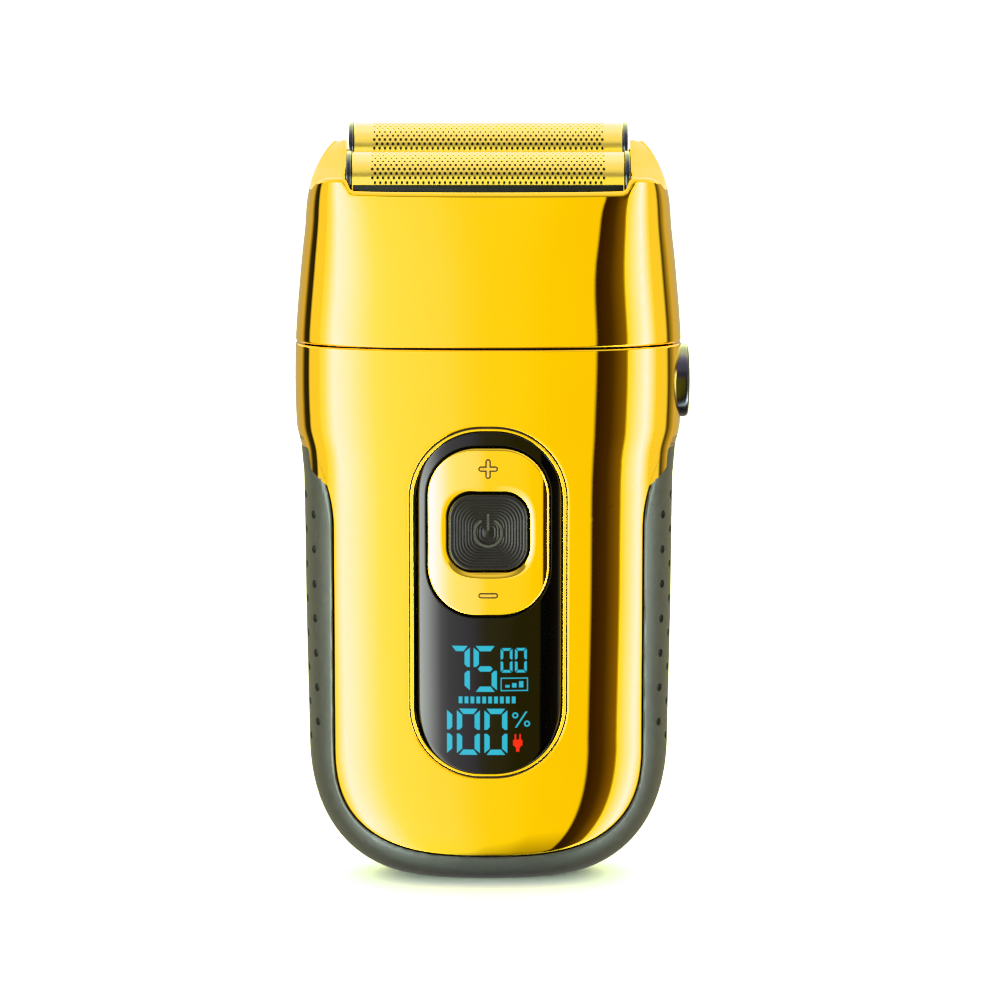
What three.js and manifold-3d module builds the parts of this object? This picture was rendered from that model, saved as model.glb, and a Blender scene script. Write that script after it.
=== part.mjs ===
// A cordless two-foil barber's shaver, as an assembly of separate pieces.
//
// The body is a gold housing in two halves with a rubber grip sleeve round its sides, back and
// foot. A gold head stands on it and carries two foil units at stepped heights. Under each foil
// a cutter rides on a spring on its own drive post. Both posts stand on one bridge, which a
// motor's eccentric shakes from side to side. A rocker sets the speed, a button in its middle
// switches the motor, and a round button on the right side lets go of the head.
//
// Millimetres, +Z up, the front faces -Y, and the origin is the middle of the flat foot.

import * as THREE from "three";
import { mergeVertices } from "three/addons/utils/BufferGeometryUtils.js";
import Module from "manifold-3d";

const wasm = await Module();
wasm.setup();

// ---------------------------------------------------------------- driving dimensions

const FIT = 0.3; // gap left between two pieces that meet
const SEAM = 88.4; // height where the head meets the body
const GRIP_TOP = 73.4; // upper edge of the rubber grip
const REACH = 40; // longer than any half size, for cutting blocks

// The outer skin at a few heights: half width, depth in front of and behind the middle plane,
// and the power of its squared-off oval section.
const SKIN = [
  { z: 24, half: 29.5, front: 14.9, back: 14.8, power: 2.7 },
  { z: 45, half: 29.9, front: 15.3, back: 14.6, power: 2.75 },
  { z: 64, half: 30.1, front: 15.4, back: 14.6, power: 2.75 },
  { z: 70.5, half: 30.35, front: 15.4, back: 14.9, power: 2.75 },
  { z: 75, half: 31.3, front: 15.4, back: 15.3, power: 2.65 },
  { z: 88, half: 31.4, front: 15.4, back: 15.6, power: 2.7 },
  { z: 100, half: 30.5, front: 15.2, back: 15.4, power: 2.75 },
  { z: 108, half: 29.6, front: 15, back: 14.8, power: 3.1 },
];
const FOOT = { z: 0, half: 9, front: 5, back: 5, power: 2.4, roundness: 2.3 };
const CROWN = { z: 121.8, half: 21.5, front: 11, back: 10.5, power: 10, roundness: 2 };
const AROUND = 32; // points in a section of the skin
const BODY_LEVELS = [0, 1, 3, 6, 10, 16, 24, 45, 64, 69, 72, 76, SEAM - FIT / 2];

const wall = { grip: 1.8, underGrip: 3.9, front: 2, collar: 1.9, head: 2.2, ledge: 1.7 };

// The gold front panel, seen from the front.
const panel = { half: 25.2, bottom: 4.8, squareFrom: 24, power: 2.8 };
// Its sides bend outward from one height and reach the grip's top at the flare's half width.
const flare = { from: 59, half: 29.9, rise: 5.5, out: 1.8, drop: 4.8 };

// The head's rim: height at a few bearings, from the front (0) round to the back (180).
const RIM = [
  [0, 113.35],
  [42, 113.35],
  [46, 115.4],
  [54, 115.6],
  [62, 115],
  [70, 113.6],
  [77, 114.2],
  [90, 116.1],
  [105, 118.4],
  [120, 120.8],
  [128, 120.6],
  [137, 118.2],
  [180, 118],
];
const tray = { half: 23.2, front: 12, back: 11.15, power: 40, depth: 8 };

// A foil unit, in its own frame: Y across, Z up, origin on the line where the arch springs.
const foil = { half: 4.7, sheet: 0.35, leg: 0.6, shoulder: 1.9, rise: 4.4, length: 43.4, travel: 1.5 };
const FOIL_PLACES = [
  { name: "front", y: -5.95, z: 113 },
  { name: "rear", y: 5.35, z: 117.1 },
];
const carrier = { inner: 4.85, outer: 5.45, bottom: -2, railBottom: -1.2, top: 1.3, half: 21.6, bar: 1 };
const cap = { inner: 21.9, outer: 22.7, half: 4.95, top: 6.5 };

// A cutter, in the same frame as its foil.
const blade = { half: 4.15, bottom: 1, rise: 3.85, length: 39.6 };
const cutterBase = { half: 19.2, depth: 3.2, bottom: -1.5, top: 0.8, boss: 3.1, bossBottom: -6.3 };
const post = { radius: 1.6, foot: 2.6, socket: 1.8, top: -2.4, socketTop: -0.6, shelf: -15 };
const cutterSpring = { radius: 2.35, wire: 0.35, turns: 4 };
const stroke = 1.25; // how far the cutters swing each way

const motor = { y: 1, half: 10.2, flat: 7.7, bottom: 47.6, top: 75.6, cap: 2.1, shaft: 1 };
const bridge = { half: 12, front: -9, back: 8.4, bottom: 82.9, top: 86.1 };
const cam = { radius: 4, bottom: 78.2, top: 81.6, pin: 1, pinTop: 84.9 };
const deck = { bottom: 86.9, inset: 2.6, rimTop: 91, rimInset: 4 };
const chassis = { half: 17.5, front: -8.2, plate: 1.2, bottom: 10.9, shelf: 1.5, bracket: 75.9, top: 77.6 };
const pillar = { x: 17, radius: 2.2, top: 86.6 };

const windowPane = { half: 11.8, bottom: 19.6, top: 74.9, corner: 10.8, thickness: 1.4 };
const bezelLine = { inner: 0.2, outer: 0.8 }; // how far its two edges stand outside the pane
const controls = { z: 59, pivotY: -12.7, switchReach: 10, plunger: 1.2, stub: 0.5, clearance: 0.35 };
const rocker = { half: 9.8, rise: 13.6, corner: 8, front: -16.2, back: -14.4, lugIn: 7.8, lugOut: 9 };
const guide = { half: 11.2, up: 14.5, down: 14.3, front: -12.1, back: -11.5, towerIn: 9.6, towerOut: 10.8 };
const button = { half: 6.3, rise: 6.1, corner: 3.7, front: -16.5, back: -14.6, stem: 2, stemEnd: -12.2 };
const release = { z: 81.8, radius: 6, outer: 32.8, capIn: 28.6, stem: 3.6, flangeIn: 25.9 };
const latch = { inner: 24.4, outer: 25.6, hook: 28.2, half: 3, bottom: -5.5, hookFrom: 9.9, top: 11.6 };
const cell = { half: 16.5, front: -6.5, back: 5, corner: 2.5 };
const board = { half: 12.5, front: -9.9, back: -8.5, bottom: 13, top: 76 };
const displayBlock = { half: 8.2, bottom: 22.2, top: 43, depth: 2.6 };
const keySize = { half: 2.2, depth: 1.2 };
const socket = { y: 3.6, half: 4.47, depth: 1.63, bottom: 0.9, top: 8.4, shell: 0.3 };
const CASE_SCREWS = [
  { x: 21, z: 30 },
  { x: 22.5, z: 64 },
];
const screwSize = { radius: 0.9, head: 1.8, headHeight: 1.3, bore: 1.15, lift: 0.15 };
const caseScrew = { length: 11, seat: 5.8, boss: 2.6, headBore: 2.2, boreFrom: -7 };
const motorScrew = { x: 6, head: 1.7, length: 1.5 };
const deckScrewLength = 5;

// ---------------------------------------------------------------- materials

function finish(color, roughness, metalness) {
  return new THREE.MeshStandardMaterial({ color, roughness, metalness });
}

const GOLD = finish("#e8ae12", 0.16, 1);
const FOIL_GOLD = finish("#d9b440", 0.3, 1);
const STEEL = finish("#b9bcc0", 0.3, 1);
const GUNMETAL = finish("#55585c", 0.25, 1);
const RUBBER = finish("#333436", 0.8, 0);
const BLACK_PLASTIC = finish("#1b1b1d", 0.5, 0);
const BLACK_GLASS = finish("#08090a", 0.06, 0);
const CIRCUIT = finish("#14532d", 0.5, 0);
const CELL = finish("#2f6fb5", 0.45, 0);
const WHITE_NYLON = finish("#dcdcd4", 0.45, 0);

// ---------------------------------------------------------------- solids

function solidOf(geometry) {
  const loose = geometry.index ? geometry.toNonIndexed() : geometry;
  const bare = new THREE.BufferGeometry().setAttribute("position", loose.getAttribute("position"));
  const merged = mergeVertices(bare, 1e-4);
  const mesh = new wasm.Mesh({
    numProp: 3,
    vertProperties: merged.attributes.position.array,
    triVerts: new Uint32Array(merged.index.array),
  });
  return new wasm.Manifold(mesh);
}

function geometryOf(solid) {
  const mesh = solid.getMesh();
  const made = new THREE.BufferGeometry();
  made.setAttribute("position", new THREE.BufferAttribute(new Float32Array(mesh.vertProperties), 3));
  made.setIndex(new THREE.BufferAttribute(new Uint32Array(mesh.triVerts), 1));
  made.computeVertexNormals();
  return made;
}

function piece(name, solid, material, place = [0, 0, 0]) {
  const mesh = new THREE.Mesh(geometryOf(solid), material);
  mesh.name = name;
  mesh.position.set(...place);
  return mesh;
}

function group(place, ...members) {
  const made = new THREE.Group();
  made.position.set(...place);
  made.add(...members);
  return made;
}

function box([x0, x1], [y0, y1], [z0, z1]) {
  const made = new THREE.BoxGeometry(x1 - x0, y1 - y0, z1 - z0);
  return solidOf(made.translate((x0 + x1) / 2, (y0 + y1) / 2, (z0 + z1) / 2));
}

// A round rod along one axis, from one coordinate to another, through a point.
function rod(axis, radius, [from, to], [x, y, z], sides = 16) {
  const made = new THREE.CylinderGeometry(radius, radius, to - from, sides);
  const middle = (from + to) / 2;
  if (axis === "x") made.rotateZ(-Math.PI / 2).translate(middle, y, z);
  if (axis === "y") made.translate(x, middle, z);
  if (axis === "z") made.rotateX(Math.PI / 2).translate(x, y, middle);
  return solidOf(made);
}

// A shape drawn in X and Z, pushed along Y.
function alongY(shape, [from, to], curveSegments = 6) {
  const made = new THREE.ExtrudeGeometry(shape, { depth: to - from, bevelEnabled: false, curveSegments });
  return solidOf(made.rotateX(Math.PI / 2).translate(0, to, 0));
}

// A shape drawn in Y and Z, pushed along X.
function alongX(shape, [from, to], curveSegments = 12) {
  const made = new THREE.ExtrudeGeometry(shape, { depth: to - from, bevelEnabled: false, curveSegments });
  const turn = new THREE.Matrix4().makeBasis(
    new THREE.Vector3(0, 1, 0),
    new THREE.Vector3(0, 0, 1),
    new THREE.Vector3(1, 0, 0),
  );
  return solidOf(made.applyMatrix4(turn).translate(from, 0, 0));
}

// A shape drawn in X and Y, pushed along Z.
function alongZ(shape, [from, to], curveSegments = 6) {
  const made = new THREE.ExtrudeGeometry(shape, { depth: to - from, bevelEnabled: false, curveSegments });
  return solidOf(made.translate(0, 0, from));
}

function roundedRectangle(half, bottom, top, corner) {
  const shape = new THREE.Shape();
  shape.moveTo(-half + corner, bottom);
  shape.lineTo(half - corner, bottom);
  shape.absarc(half - corner, bottom + corner, corner, -Math.PI / 2, 0);
  shape.lineTo(half, top - corner);
  shape.absarc(half - corner, top - corner, corner, 0, Math.PI / 2);
  shape.lineTo(-half + corner, top);
  shape.absarc(-half + corner, top - corner, corner, Math.PI / 2, Math.PI);
  shape.lineTo(-half, bottom + corner);
  shape.absarc(-half + corner, bottom + corner, corner, Math.PI, 1.5 * Math.PI);
  return shape;
}

// An open helix of wire along Z.
function coil(radius, wire, height, turns, stepsPerTurn = 8, sides = 4) {
  const steps = turns * stepsPerTurn;
  const points = Array.from({ length: steps + 1 }, (_, i) => {
    const angle = (i / stepsPerTurn) * 2 * Math.PI;
    const climb = wire + (i / steps) * (height - 2 * wire);
    return new THREE.Vector3(radius * Math.cos(angle), radius * Math.sin(angle), climb);
  });
  const section = new THREE.Shape();
  section.absarc(0, 0, wire, 0, 2 * Math.PI);
  const made = new THREE.ExtrudeGeometry(section, {
    steps,
    extrudePath: new THREE.CatmullRomCurve3(points),
    curveSegments: sides,
  });
  return solidOf(made);
}

// ---------------------------------------------------------------- the skin

// The value at z of a smooth curve through the stations.
function alongStations(z, key) {
  const last = SKIN.length - 1;
  const i = Math.min(
    last - 1,
    Math.max(
      0,
      SKIN.findIndex((s) => s.z >= z) - 1,
    ),
  );
  const slopeAt = (k) => {
    const before = SKIN[Math.max(0, k - 1)];
    const after = SKIN[Math.min(last, k + 1)];
    return (after[key] - before[key]) / (after.z - before.z);
  };
  const span = SKIN[i + 1].z - SKIN[i].z;
  const t = (z - SKIN[i].z) / span;
  const u = 1 - t;
  return (
    SKIN[i][key] * (1 + 2 * t) * u * u +
    SKIN[i + 1][key] * (3 - 2 * t) * t * t +
    span * (slopeAt(i) * t * u * u - slopeAt(i + 1) * t * t * u)
  );
}

// The skin's measures at a height, with a rounded foot below and a rounded crown above.
function skinAt(z) {
  const low = SKIN[0];
  const high = SKIN[SKIN.length - 1];
  const end = z < low.z ? FOOT : CROWN;
  const near = z < low.z ? low : high;
  const share = Math.max(0, Math.min(1, (z - near.z) / (end.z - near.z)));
  const rounded = (1 - share ** end.roundness) ** (1 / end.roundness);
  const measure = (key) => {
    if (z >= low.z && z <= high.z) return alongStations(z, key);
    return THREE.MathUtils.lerp(end[key], near[key], rounded);
  };
  return { half: measure("half"), front: measure("front"), back: measure("back"), power: measure("power") };
}

// A point at a bearing on a squared-off oval. Bearing 0 is the front and 90 the right side.
function ovalPoint({ half, front, back, power }, bearing, z) {
  const s = Math.sin(THREE.MathUtils.degToRad(bearing));
  const c = Math.cos(THREE.MathUtils.degToRad(bearing));
  const r = (Math.abs(s) ** power + Math.abs(c) ** power) ** (-1 / power);
  return new THREE.Vector3(half * r * s, (c > 0 ? -front : -back) * r * c, z);
}

function inset({ half, front, back, power }, by) {
  return { half: half - by, front: front - by, back: back - by, power };
}

const BEARINGS = Array.from({ length: AROUND }, (_, i) => (i * 360) / AROUND);

function skinRing(z, by) {
  return BEARINGS.map((bearing) => ovalPoint(inset(skinAt(z), by), bearing, z));
}

// A surface through rings of equal length, closed by fans, or into a hollow ring if looped.
function lofted(rings, looped = false) {
  const count = rings[0].length;
  const points = rings.flat();
  const faces = [];
  const bands = looped ? rings.length : rings.length - 1;
  for (let i = 0; i < bands; i += 1) {
    const next = (i + 1) % rings.length;
    for (let j = 0; j < count; j += 1) {
      const k = (j + 1) % count;
      const [a, b, c, d] = [i * count + j, i * count + k, next * count + k, next * count + j];
      faces.push(a, b, c, a, c, d);
    }
  }
  if (!looped) {
    const middle = (ring) => ring.reduce((sum, p) => sum.add(p), new THREE.Vector3()).divideScalar(count);
    const top = (rings.length - 1) * count;
    points.push(middle(rings[0]), middle(rings[rings.length - 1]));
    for (let j = 0; j < count; j += 1) {
      const k = (j + 1) % count;
      faces.push(points.length - 2, k, j, points.length - 1, top + j, top + k);
    }
  }
  const made = new THREE.BufferGeometry().setFromPoints(points);
  made.setIndex(faces);
  return solidOf(made);
}

// The body's skin drawn in by a distance, as a solid from the foot to the seam.
function bodyCore(by) {
  const levels = BODY_LEVELS.filter((z) => z > by + 0.4);
  return lofted([by, ...levels].map((z) => skinRing(Math.max(z, 0), by)));
}

// ---------------------------------------------------------------- housings and grip

// The front panel's outline, grown by a distance. Its lower end is a squared-off half oval and
// its upper end flares out to the full width.
function panelOutline(grow) {
  const half = panel.half + grow;
  const drop = panel.squareFrom - panel.bottom + grow;
  const steps = 10;
  const lower = Array.from({ length: 2 * steps + 1 }, (_, i) => {
    const angle = ((i - steps) / steps) * (Math.PI / 2);
    const s = Math.abs(Math.sin(angle)) ** (2 / panel.power) * Math.sign(angle);
    const c = Math.cos(angle) ** (2 / panel.power);
    return [half * s, panel.squareFrom - drop * c];
  });
  const shape = new THREE.Shape();
  shape.moveTo(...lower[0]);
  lower.slice(1).forEach(([x, z]) => shape.lineTo(x, z));
  const top = GRIP_TOP - grow;
  const reach = flare.half + grow;
  shape.lineTo(half, flare.from);
  shape.bezierCurveTo(half, flare.from + flare.rise, half + flare.out, top - flare.drop, reach, top);
  shape.lineTo(REACH, top);
  shape.lineTo(REACH, SEAM + REACH);
  shape.lineTo(-REACH, SEAM + REACH);
  shape.lineTo(-REACH, top);
  shape.lineTo(-reach, top);
  const bendTop = [-half - flare.out, top - flare.drop];
  shape.bezierCurveTo(...bendTop, -half, flare.from + flare.rise, -half, flare.from);
  return shape;
}

// Everything that the grip covers: all below its top, but for the front panel.
function gripZone(grow) {
  const below = box([-REACH, REACH], [-REACH, REACH], [-1, GRIP_TOP + grow]);
  return below.subtract(alongY(panelOutline(-grow), [-REACH, 0], 8));
}

// The window's outline, grown by a distance.
function paneOutline(grow) {
  return roundedRectangle(
    windowPane.half + grow,
    windowPane.bottom - grow,
    windowPane.top + grow,
    windowPane.corner + grow,
  );
}

function socketHole(clearance) {
  return box(
    [-socket.half - clearance, socket.half + clearance],
    [socket.y - socket.depth - clearance, socket.y + socket.depth + clearance],
    [-1, socket.top + 1],
  );
}

// The posts inside a half that its screws run through, between two depths.
function screwBosses(span) {
  const posts = CASE_SCREWS.flatMap(({ x, z }) => [
    rod("y", caseScrew.boss, span, [x, 0, z], 12),
    rod("y", caseScrew.boss, span, [-x, 0, z], 12),
  ]);
  return wasm.Manifold.union(posts).intersect(bodyCore(1));
}

function screwHoles() {
  return wasm.Manifold.union(
    CASE_SCREWS.flatMap(({ x, z }) =>
      [-x, x].flatMap((at) => [
        rod("y", screwSize.bore, [caseScrew.boreFrom, REACH], [at, 0, z], 10),
        rod("y", caseScrew.headBore, [caseScrew.seat - 0.2, REACH], [at, 0, z], 10),
      ]),
    ),
  );
}

function housings() {
  const outer = bodyCore(0);
  const collarZone = box([-REACH, REACH], [-REACH, REACH], [GRIP_TOP + wall.ledge, REACH * 3]);
  const cavity = bodyCore(wall.underGrip)
    .add(bodyCore(wall.front).intersect(box([-21, 21], [-REACH, 0], [9, SEAM])))
    .add(bodyCore(wall.collar).intersect(collarZone))
    .add(box([-15, 15], [-5, 5], [SEAM - 1, SEAM + 1]));
  const shell = outer.subtract(cavity);
  const recess = gripZone(FIT / 2).subtract(bodyCore(wall.grip + FIT));
  const windowHole = alongY(
    paneOutline(bezelLine.outer + 0.25),
    [-REACH, -9],
  );
  const releaseHole = rod("x", release.radius + FIT + 0.1, [20, REACH], [0, 0, release.z], 20);
  const half = (span) =>
    shell
      .intersect(box([-REACH, REACH], span, [-1, REACH * 3]))
      .add(screwBosses(span))
      .subtract(recess)
      .subtract(socketHole(0.45))
      .subtract(releaseHole)
      .subtract(screwHoles());
  const frontHalf = half([-REACH, -FIT / 2]).subtract(windowHole);
  const rearHalf = half([FIT / 2, REACH]);
  const sleeve = outer
    .subtract(bodyCore(wall.grip))
    .intersect(gripZone(-FIT / 2))
    .subtract(socketHole(0.7));
  return [
    piece("front_housing", frontHalf, GOLD),
    piece("rear_housing", rearHalf, GOLD),
    piece("grip_sleeve", sleeve, RUBBER),
  ];
}

// ---------------------------------------------------------------- head

function rimAt(bearing) {
  const turned = bearing > 180 ? 360 - bearing : bearing;
  const i = Math.max(
    1,
    RIM.findIndex(([at]) => at >= turned),
  );
  const [[from, low], [to, high]] = [RIM[i - 1], RIM[i]];
  return THREE.MathUtils.lerp(low, high, (turned - from) / (to - from));
}

// The head is one ring of closed profiles: up the skin, over the rim, down the tray and back
// down the inside.
function headShell() {
  const bottom = SEAM + FIT / 2;
  const outside = [0, 0.35, 0.65, 0.85, 1].map((share) =>
    BEARINGS.map((bearing) => {
      const z = THREE.MathUtils.lerp(bottom, rimAt(bearing) - 0.4, share);
      return ovalPoint(skinAt(z), bearing, z);
    }),
  );
  const over = BEARINGS.map((bearing) =>
    ovalPoint(inset(skinAt(rimAt(bearing) - 0.4), 0.5), bearing, rimAt(bearing)),
  );
  const trayRing = (drop) => BEARINGS.map((bearing) => ovalPoint(tray, bearing, rimAt(bearing) - drop));
  const inside = [1, 0.5, 0].map((share) =>
    BEARINGS.map((bearing) => {
      const z = THREE.MathUtils.lerp(bottom, rimAt(bearing) - tray.depth - 1.5, share);
      return ovalPoint(inset(skinAt(z), wall.head), bearing, z);
    }),
  );
  return lofted([...outside, over, trayRing(0.1), trayRing(tray.depth), ...inside], true);
}

// A stepped floor in the tray, with a slot under each foil for its cutter.
function foilFrame() {
  const [front, rear] = FOIL_PLACES;
  const floor = (place, [y0, y1]) => {
    const top = place.z + carrier.bottom - foil.travel - FIT;
    const slot = [place.y - blade.half - 0.4, place.y + blade.half + 0.4];
    return box([-22.6, 22.6], [y0, y1], [top - 1.5, top]).subtract(
      box([-20.6, 20.6], slot, [top - 2, top + 1]),
    );
  };
  const riserBottom = front.z + carrier.bottom - foil.travel - FIT - 1.5;
  const riserTop = rear.z + carrier.bottom - foil.travel - FIT;
  return floor(front, [-11.5, 0.9])
    .add(floor(rear, [-0.2, 10.8]))
    .add(box([-22.6, 22.6], [-0.2, 0.9], [riserBottom, riserTop]));
}

// A long wavy strip under the foil carrier's front rail.
function foilSpring() {
  const waves = 3;
  const steps = waves * 6;
  const [low, high] = [carrier.bottom - foil.travel - FIT + 0.15, carrier.railBottom - 0.45];
  const height = (i) => low + ((high - low) * (1 - Math.cos((i / steps) * waves * 2 * Math.PI))) / 2;
  const at = (i) => -18 + (i / steps) * 36;
  const shape = new THREE.Shape();
  shape.moveTo(at(0), height(0));
  for (let i = 1; i <= steps; i += 1) shape.lineTo(at(i), height(i));
  for (let i = steps; i >= 0; i -= 1) shape.lineTo(at(i), height(i) + 0.3);
  return alongY(shape, [-carrier.outer + 0.1, -carrier.inner]);
}

function head() {
  const springs = FOIL_PLACES.map(({ name, y, z }) =>
    piece(`foil_spring_${name}`, foilSpring(), STEEL, [0, y, z]),
  );
  const shell = piece("head_shell", headShell(), GOLD);
  return [shell, piece("foil_frame", foilFrame(), BLACK_PLASTIC), ...springs];
}

// ---------------------------------------------------------------- foil units and cutters

// An arch drawn in Y and Z: straight legs and a half oval.
function archOutline(half, bottom, shoulder, rise) {
  const shape = new THREE.Shape();
  shape.moveTo(half, bottom);
  shape.lineTo(half, shoulder);
  shape.absellipse(0, shoulder, half, rise, 0, Math.PI);
  shape.lineTo(-half, bottom);
  return shape;
}

function foilUnit({ name, y, z }) {
  const reach = foil.length / 2;
  const outer = archOutline(foil.half, -foil.leg, foil.shoulder, foil.rise);
  const inner = archOutline(foil.half - foil.sheet, -foil.leg - 1, foil.shoulder, foil.rise - foil.sheet);
  const sheet = alongX(outer, [-reach, reach], 8).subtract(alongX(inner, [-reach - 1, reach + 1], 8));
  const long = [-carrier.half, carrier.half];
  const clear = [carrier.bar - carrier.half, carrier.half - carrier.bar];
  const across = [-carrier.inner, carrier.inner];
  const rails = box(long, [-carrier.outer, carrier.outer], [carrier.bottom, carrier.top])
    .subtract(box(clear, across, [carrier.bottom - 1, carrier.top + 1]))
    .subtract(box([-REACH, REACH], across, [-foil.leg - FIT, carrier.top + 1]))
    .subtract(box(clear, [-REACH, REACH], [carrier.bottom - 1, carrier.railBottom]));
  const cheek = archOutline(cap.half, carrier.bottom, foil.shoulder, cap.top - foil.shoulder);
  return [
    piece(`foil_${name}`, sheet, FOIL_GOLD, [0, y, z]),
    piece(`foil_${name}_carrier`, rails, BLACK_PLASTIC, [0, y, z]),
    piece(`foil_${name}_cap_left`, alongX(cheek, [-cap.outer, -cap.inner], 8), GUNMETAL, [0, y, z]),
    piece(`foil_${name}_cap_right`, alongX(cheek, [cap.inner, cap.outer], 8), GUNMETAL, [0, y, z]),
  ];
}

function cutter({ name, y, z }) {
  const reach = blade.length / 2;
  const arch = archOutline(blade.half, blade.bottom, foil.shoulder, blade.rise);
  const blades = alongX(arch, [-reach, reach], 8);
  const base = box(
    [-cutterBase.half, cutterBase.half],
    [-cutterBase.depth, cutterBase.depth],
    [cutterBase.bottom, cutterBase.top],
  )
    .add(rod("z", cutterBase.boss, [cutterBase.bossBottom, cutterBase.bottom + 0.5], [0, 0, 0]))
    .subtract(rod("z", post.socket, [cutterBase.bossBottom - 1, post.socketTop], [0, 0, 0]));
  return [
    piece(`cutter_blades_${name}`, blades, STEEL, [0, y, z]),
    piece(`cutter_base_${name}`, base, BLACK_PLASTIC, [0, y, z]),
  ];
}

// ---------------------------------------------------------------- drive

// A post on the bridge: a thick foot up to the shelf that its spring stands on, then a thin pin.
function drivePost({ name, y, z }) {
  const bottom = bridge.top + FIT - z;
  const profile = [
    [0, bottom],
    [post.foot, bottom],
    [post.foot, post.shelf],
    [post.radius, post.shelf],
    [post.radius, post.top],
    [0, post.top],
  ].map(([r, h]) => new THREE.Vector2(r, h));
  const turned = new THREE.LatheGeometry(profile, 14).rotateX(Math.PI / 2);
  const springHeight = cutterBase.bossBottom - post.shelf - 0.4;
  const spring = coil(cutterSpring.radius, cutterSpring.wire, springHeight, cutterSpring.turns).translate([
    0,
    0,
    post.shelf + 0.2,
  ]);
  return [
    piece(`drive_post_${name}`, solidOf(turned), STEEL, [0, y, z]),
    piece(`cutter_spring_${name}`, spring, STEEL, [0, y, z]),
  ];
}

// The bridge's pocket leaves the eccentric pin room at every turn and at both ends of the stroke.
function oscillatorBridge() {
  const room = 2 * stroke + cam.pin + 0.25;
  const pocket = box(
    [-room, room],
    [motor.y - room + stroke, motor.y + room - stroke],
    [bridge.bottom - 1, cam.pinTop + FIT],
  );
  const bar = box([-bridge.half, bridge.half], [bridge.front, bridge.back], [bridge.bottom, bridge.top]);
  return bar.subtract(pocket);
}

// A thin leg that holds one end of the bridge over the chassis and bends with it.
function flexure(side) {
  const [near, far] = [bridge.half + 0.4, bridge.half + 0.9];
  const span = side < 0 ? [-far, -near] : [near, far];
  return box(span, [-5.5, 5.5], [chassis.top + FIT, bridge.top - 0.2]);
}

function eccentricCam() {
  return rod("z", cam.radius, [cam.bottom, cam.top], [0, motor.y, 0], 20)
    .add(rod("z", cam.pin, [cam.top - 0.5, cam.pinTop], [0, motor.y - stroke, 0], 12))
    .subtract(rod("z", motor.shaft + 0.12, [cam.bottom - 1, cam.top - 0.9], [0, motor.y, 0], 12));
}

function drive() {
  return [
    piece("oscillator_bridge", oscillatorBridge(), WHITE_NYLON),
    piece("flexure_left", flexure(-1), STEEL),
    piece("flexure_right", flexure(1), STEEL),
    piece("eccentric_cam", eccentricCam(), WHITE_NYLON),
    piece("motor_shaft", rod("z", motor.shaft, [motor.top - 6, cam.top - 1.1], [0, motor.y, 0], 12), STEEL),
    ...FOIL_PLACES.flatMap(drivePost),
  ];
}

// A round can with two flat sides, drawn in X and Y about its own axis.
function flatSidedCan(half, flat) {
  const bend = Math.asin(flat / half);
  const shape = new THREE.Shape();
  shape.absarc(0, 0, half, -bend, bend);
  shape.absarc(0, 0, half, Math.PI - bend, Math.PI + bend);
  return shape;
}

function motorPieces() {
  const can = alongZ(flatSidedCan(motor.half, motor.flat), [motor.bottom, motor.top], 8).subtract(
    rod("z", motor.shaft + 0.12, [motor.top - 6.5, motor.top + 1], [0, 0, 0], 12),
  );
  const endCap = alongZ(
    flatSidedCan(motor.half - 0.6, motor.flat - 0.5),
    [motor.bottom - motor.cap - FIT, motor.bottom - FIT],
    6,
  );
  const pieces = [piece("motor_can", can, STEEL), piece("motor_end_cap", endCap, BLACK_PLASTIC)];
  return group([0, motor.y, 0], ...pieces);
}

// ---------------------------------------------------------------- chassis, deck and power

// The slots that the drive posts swing in, through a plate between two heights.
function postSlots(heights) {
  const half = post.foot + stroke + 0.35;
  return wasm.Manifold.union(
    FOIL_PLACES.map(({ y }) => box([-half, half], [y - post.foot - FIT, y + post.foot + FIT], heights)),
  );
}

function driveDeck() {
  const level = (z, by) => skinRing(z, by);
  const plate = lofted([level(deck.bottom, deck.inset), level(SEAM, deck.inset)]);
  const rim = lofted([level(SEAM - 0.4, deck.inset), level(deck.rimTop, deck.inset)]).subtract(
    lofted([level(SEAM, deck.rimInset), level(deck.rimTop + 1, deck.rimInset)]),
  );
  const latchNotch = box([22.6, REACH], [-4, 4], [deck.bottom - 1, deck.rimTop + 1]);
  const screwHole = (x) => rod("z", screwSize.bore, [deck.bottom - 1, SEAM + 1], [x, 0, 0], 10);
  return plate
    .add(rim)
    .subtract(postSlots([deck.bottom - 1, SEAM + 1]))
    .subtract(latchNotch)
    .subtract(screwHole(-pillar.x))
    .subtract(screwHole(pillar.x));
}

function hairSeal() {
  return box([-11, 11], [-9.4, 8.8], [deck.bottom - 0.55, deck.bottom - 0.15]).subtract(
    postSlots([deck.bottom - 1, deck.bottom + 1]),
  );
}

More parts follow.
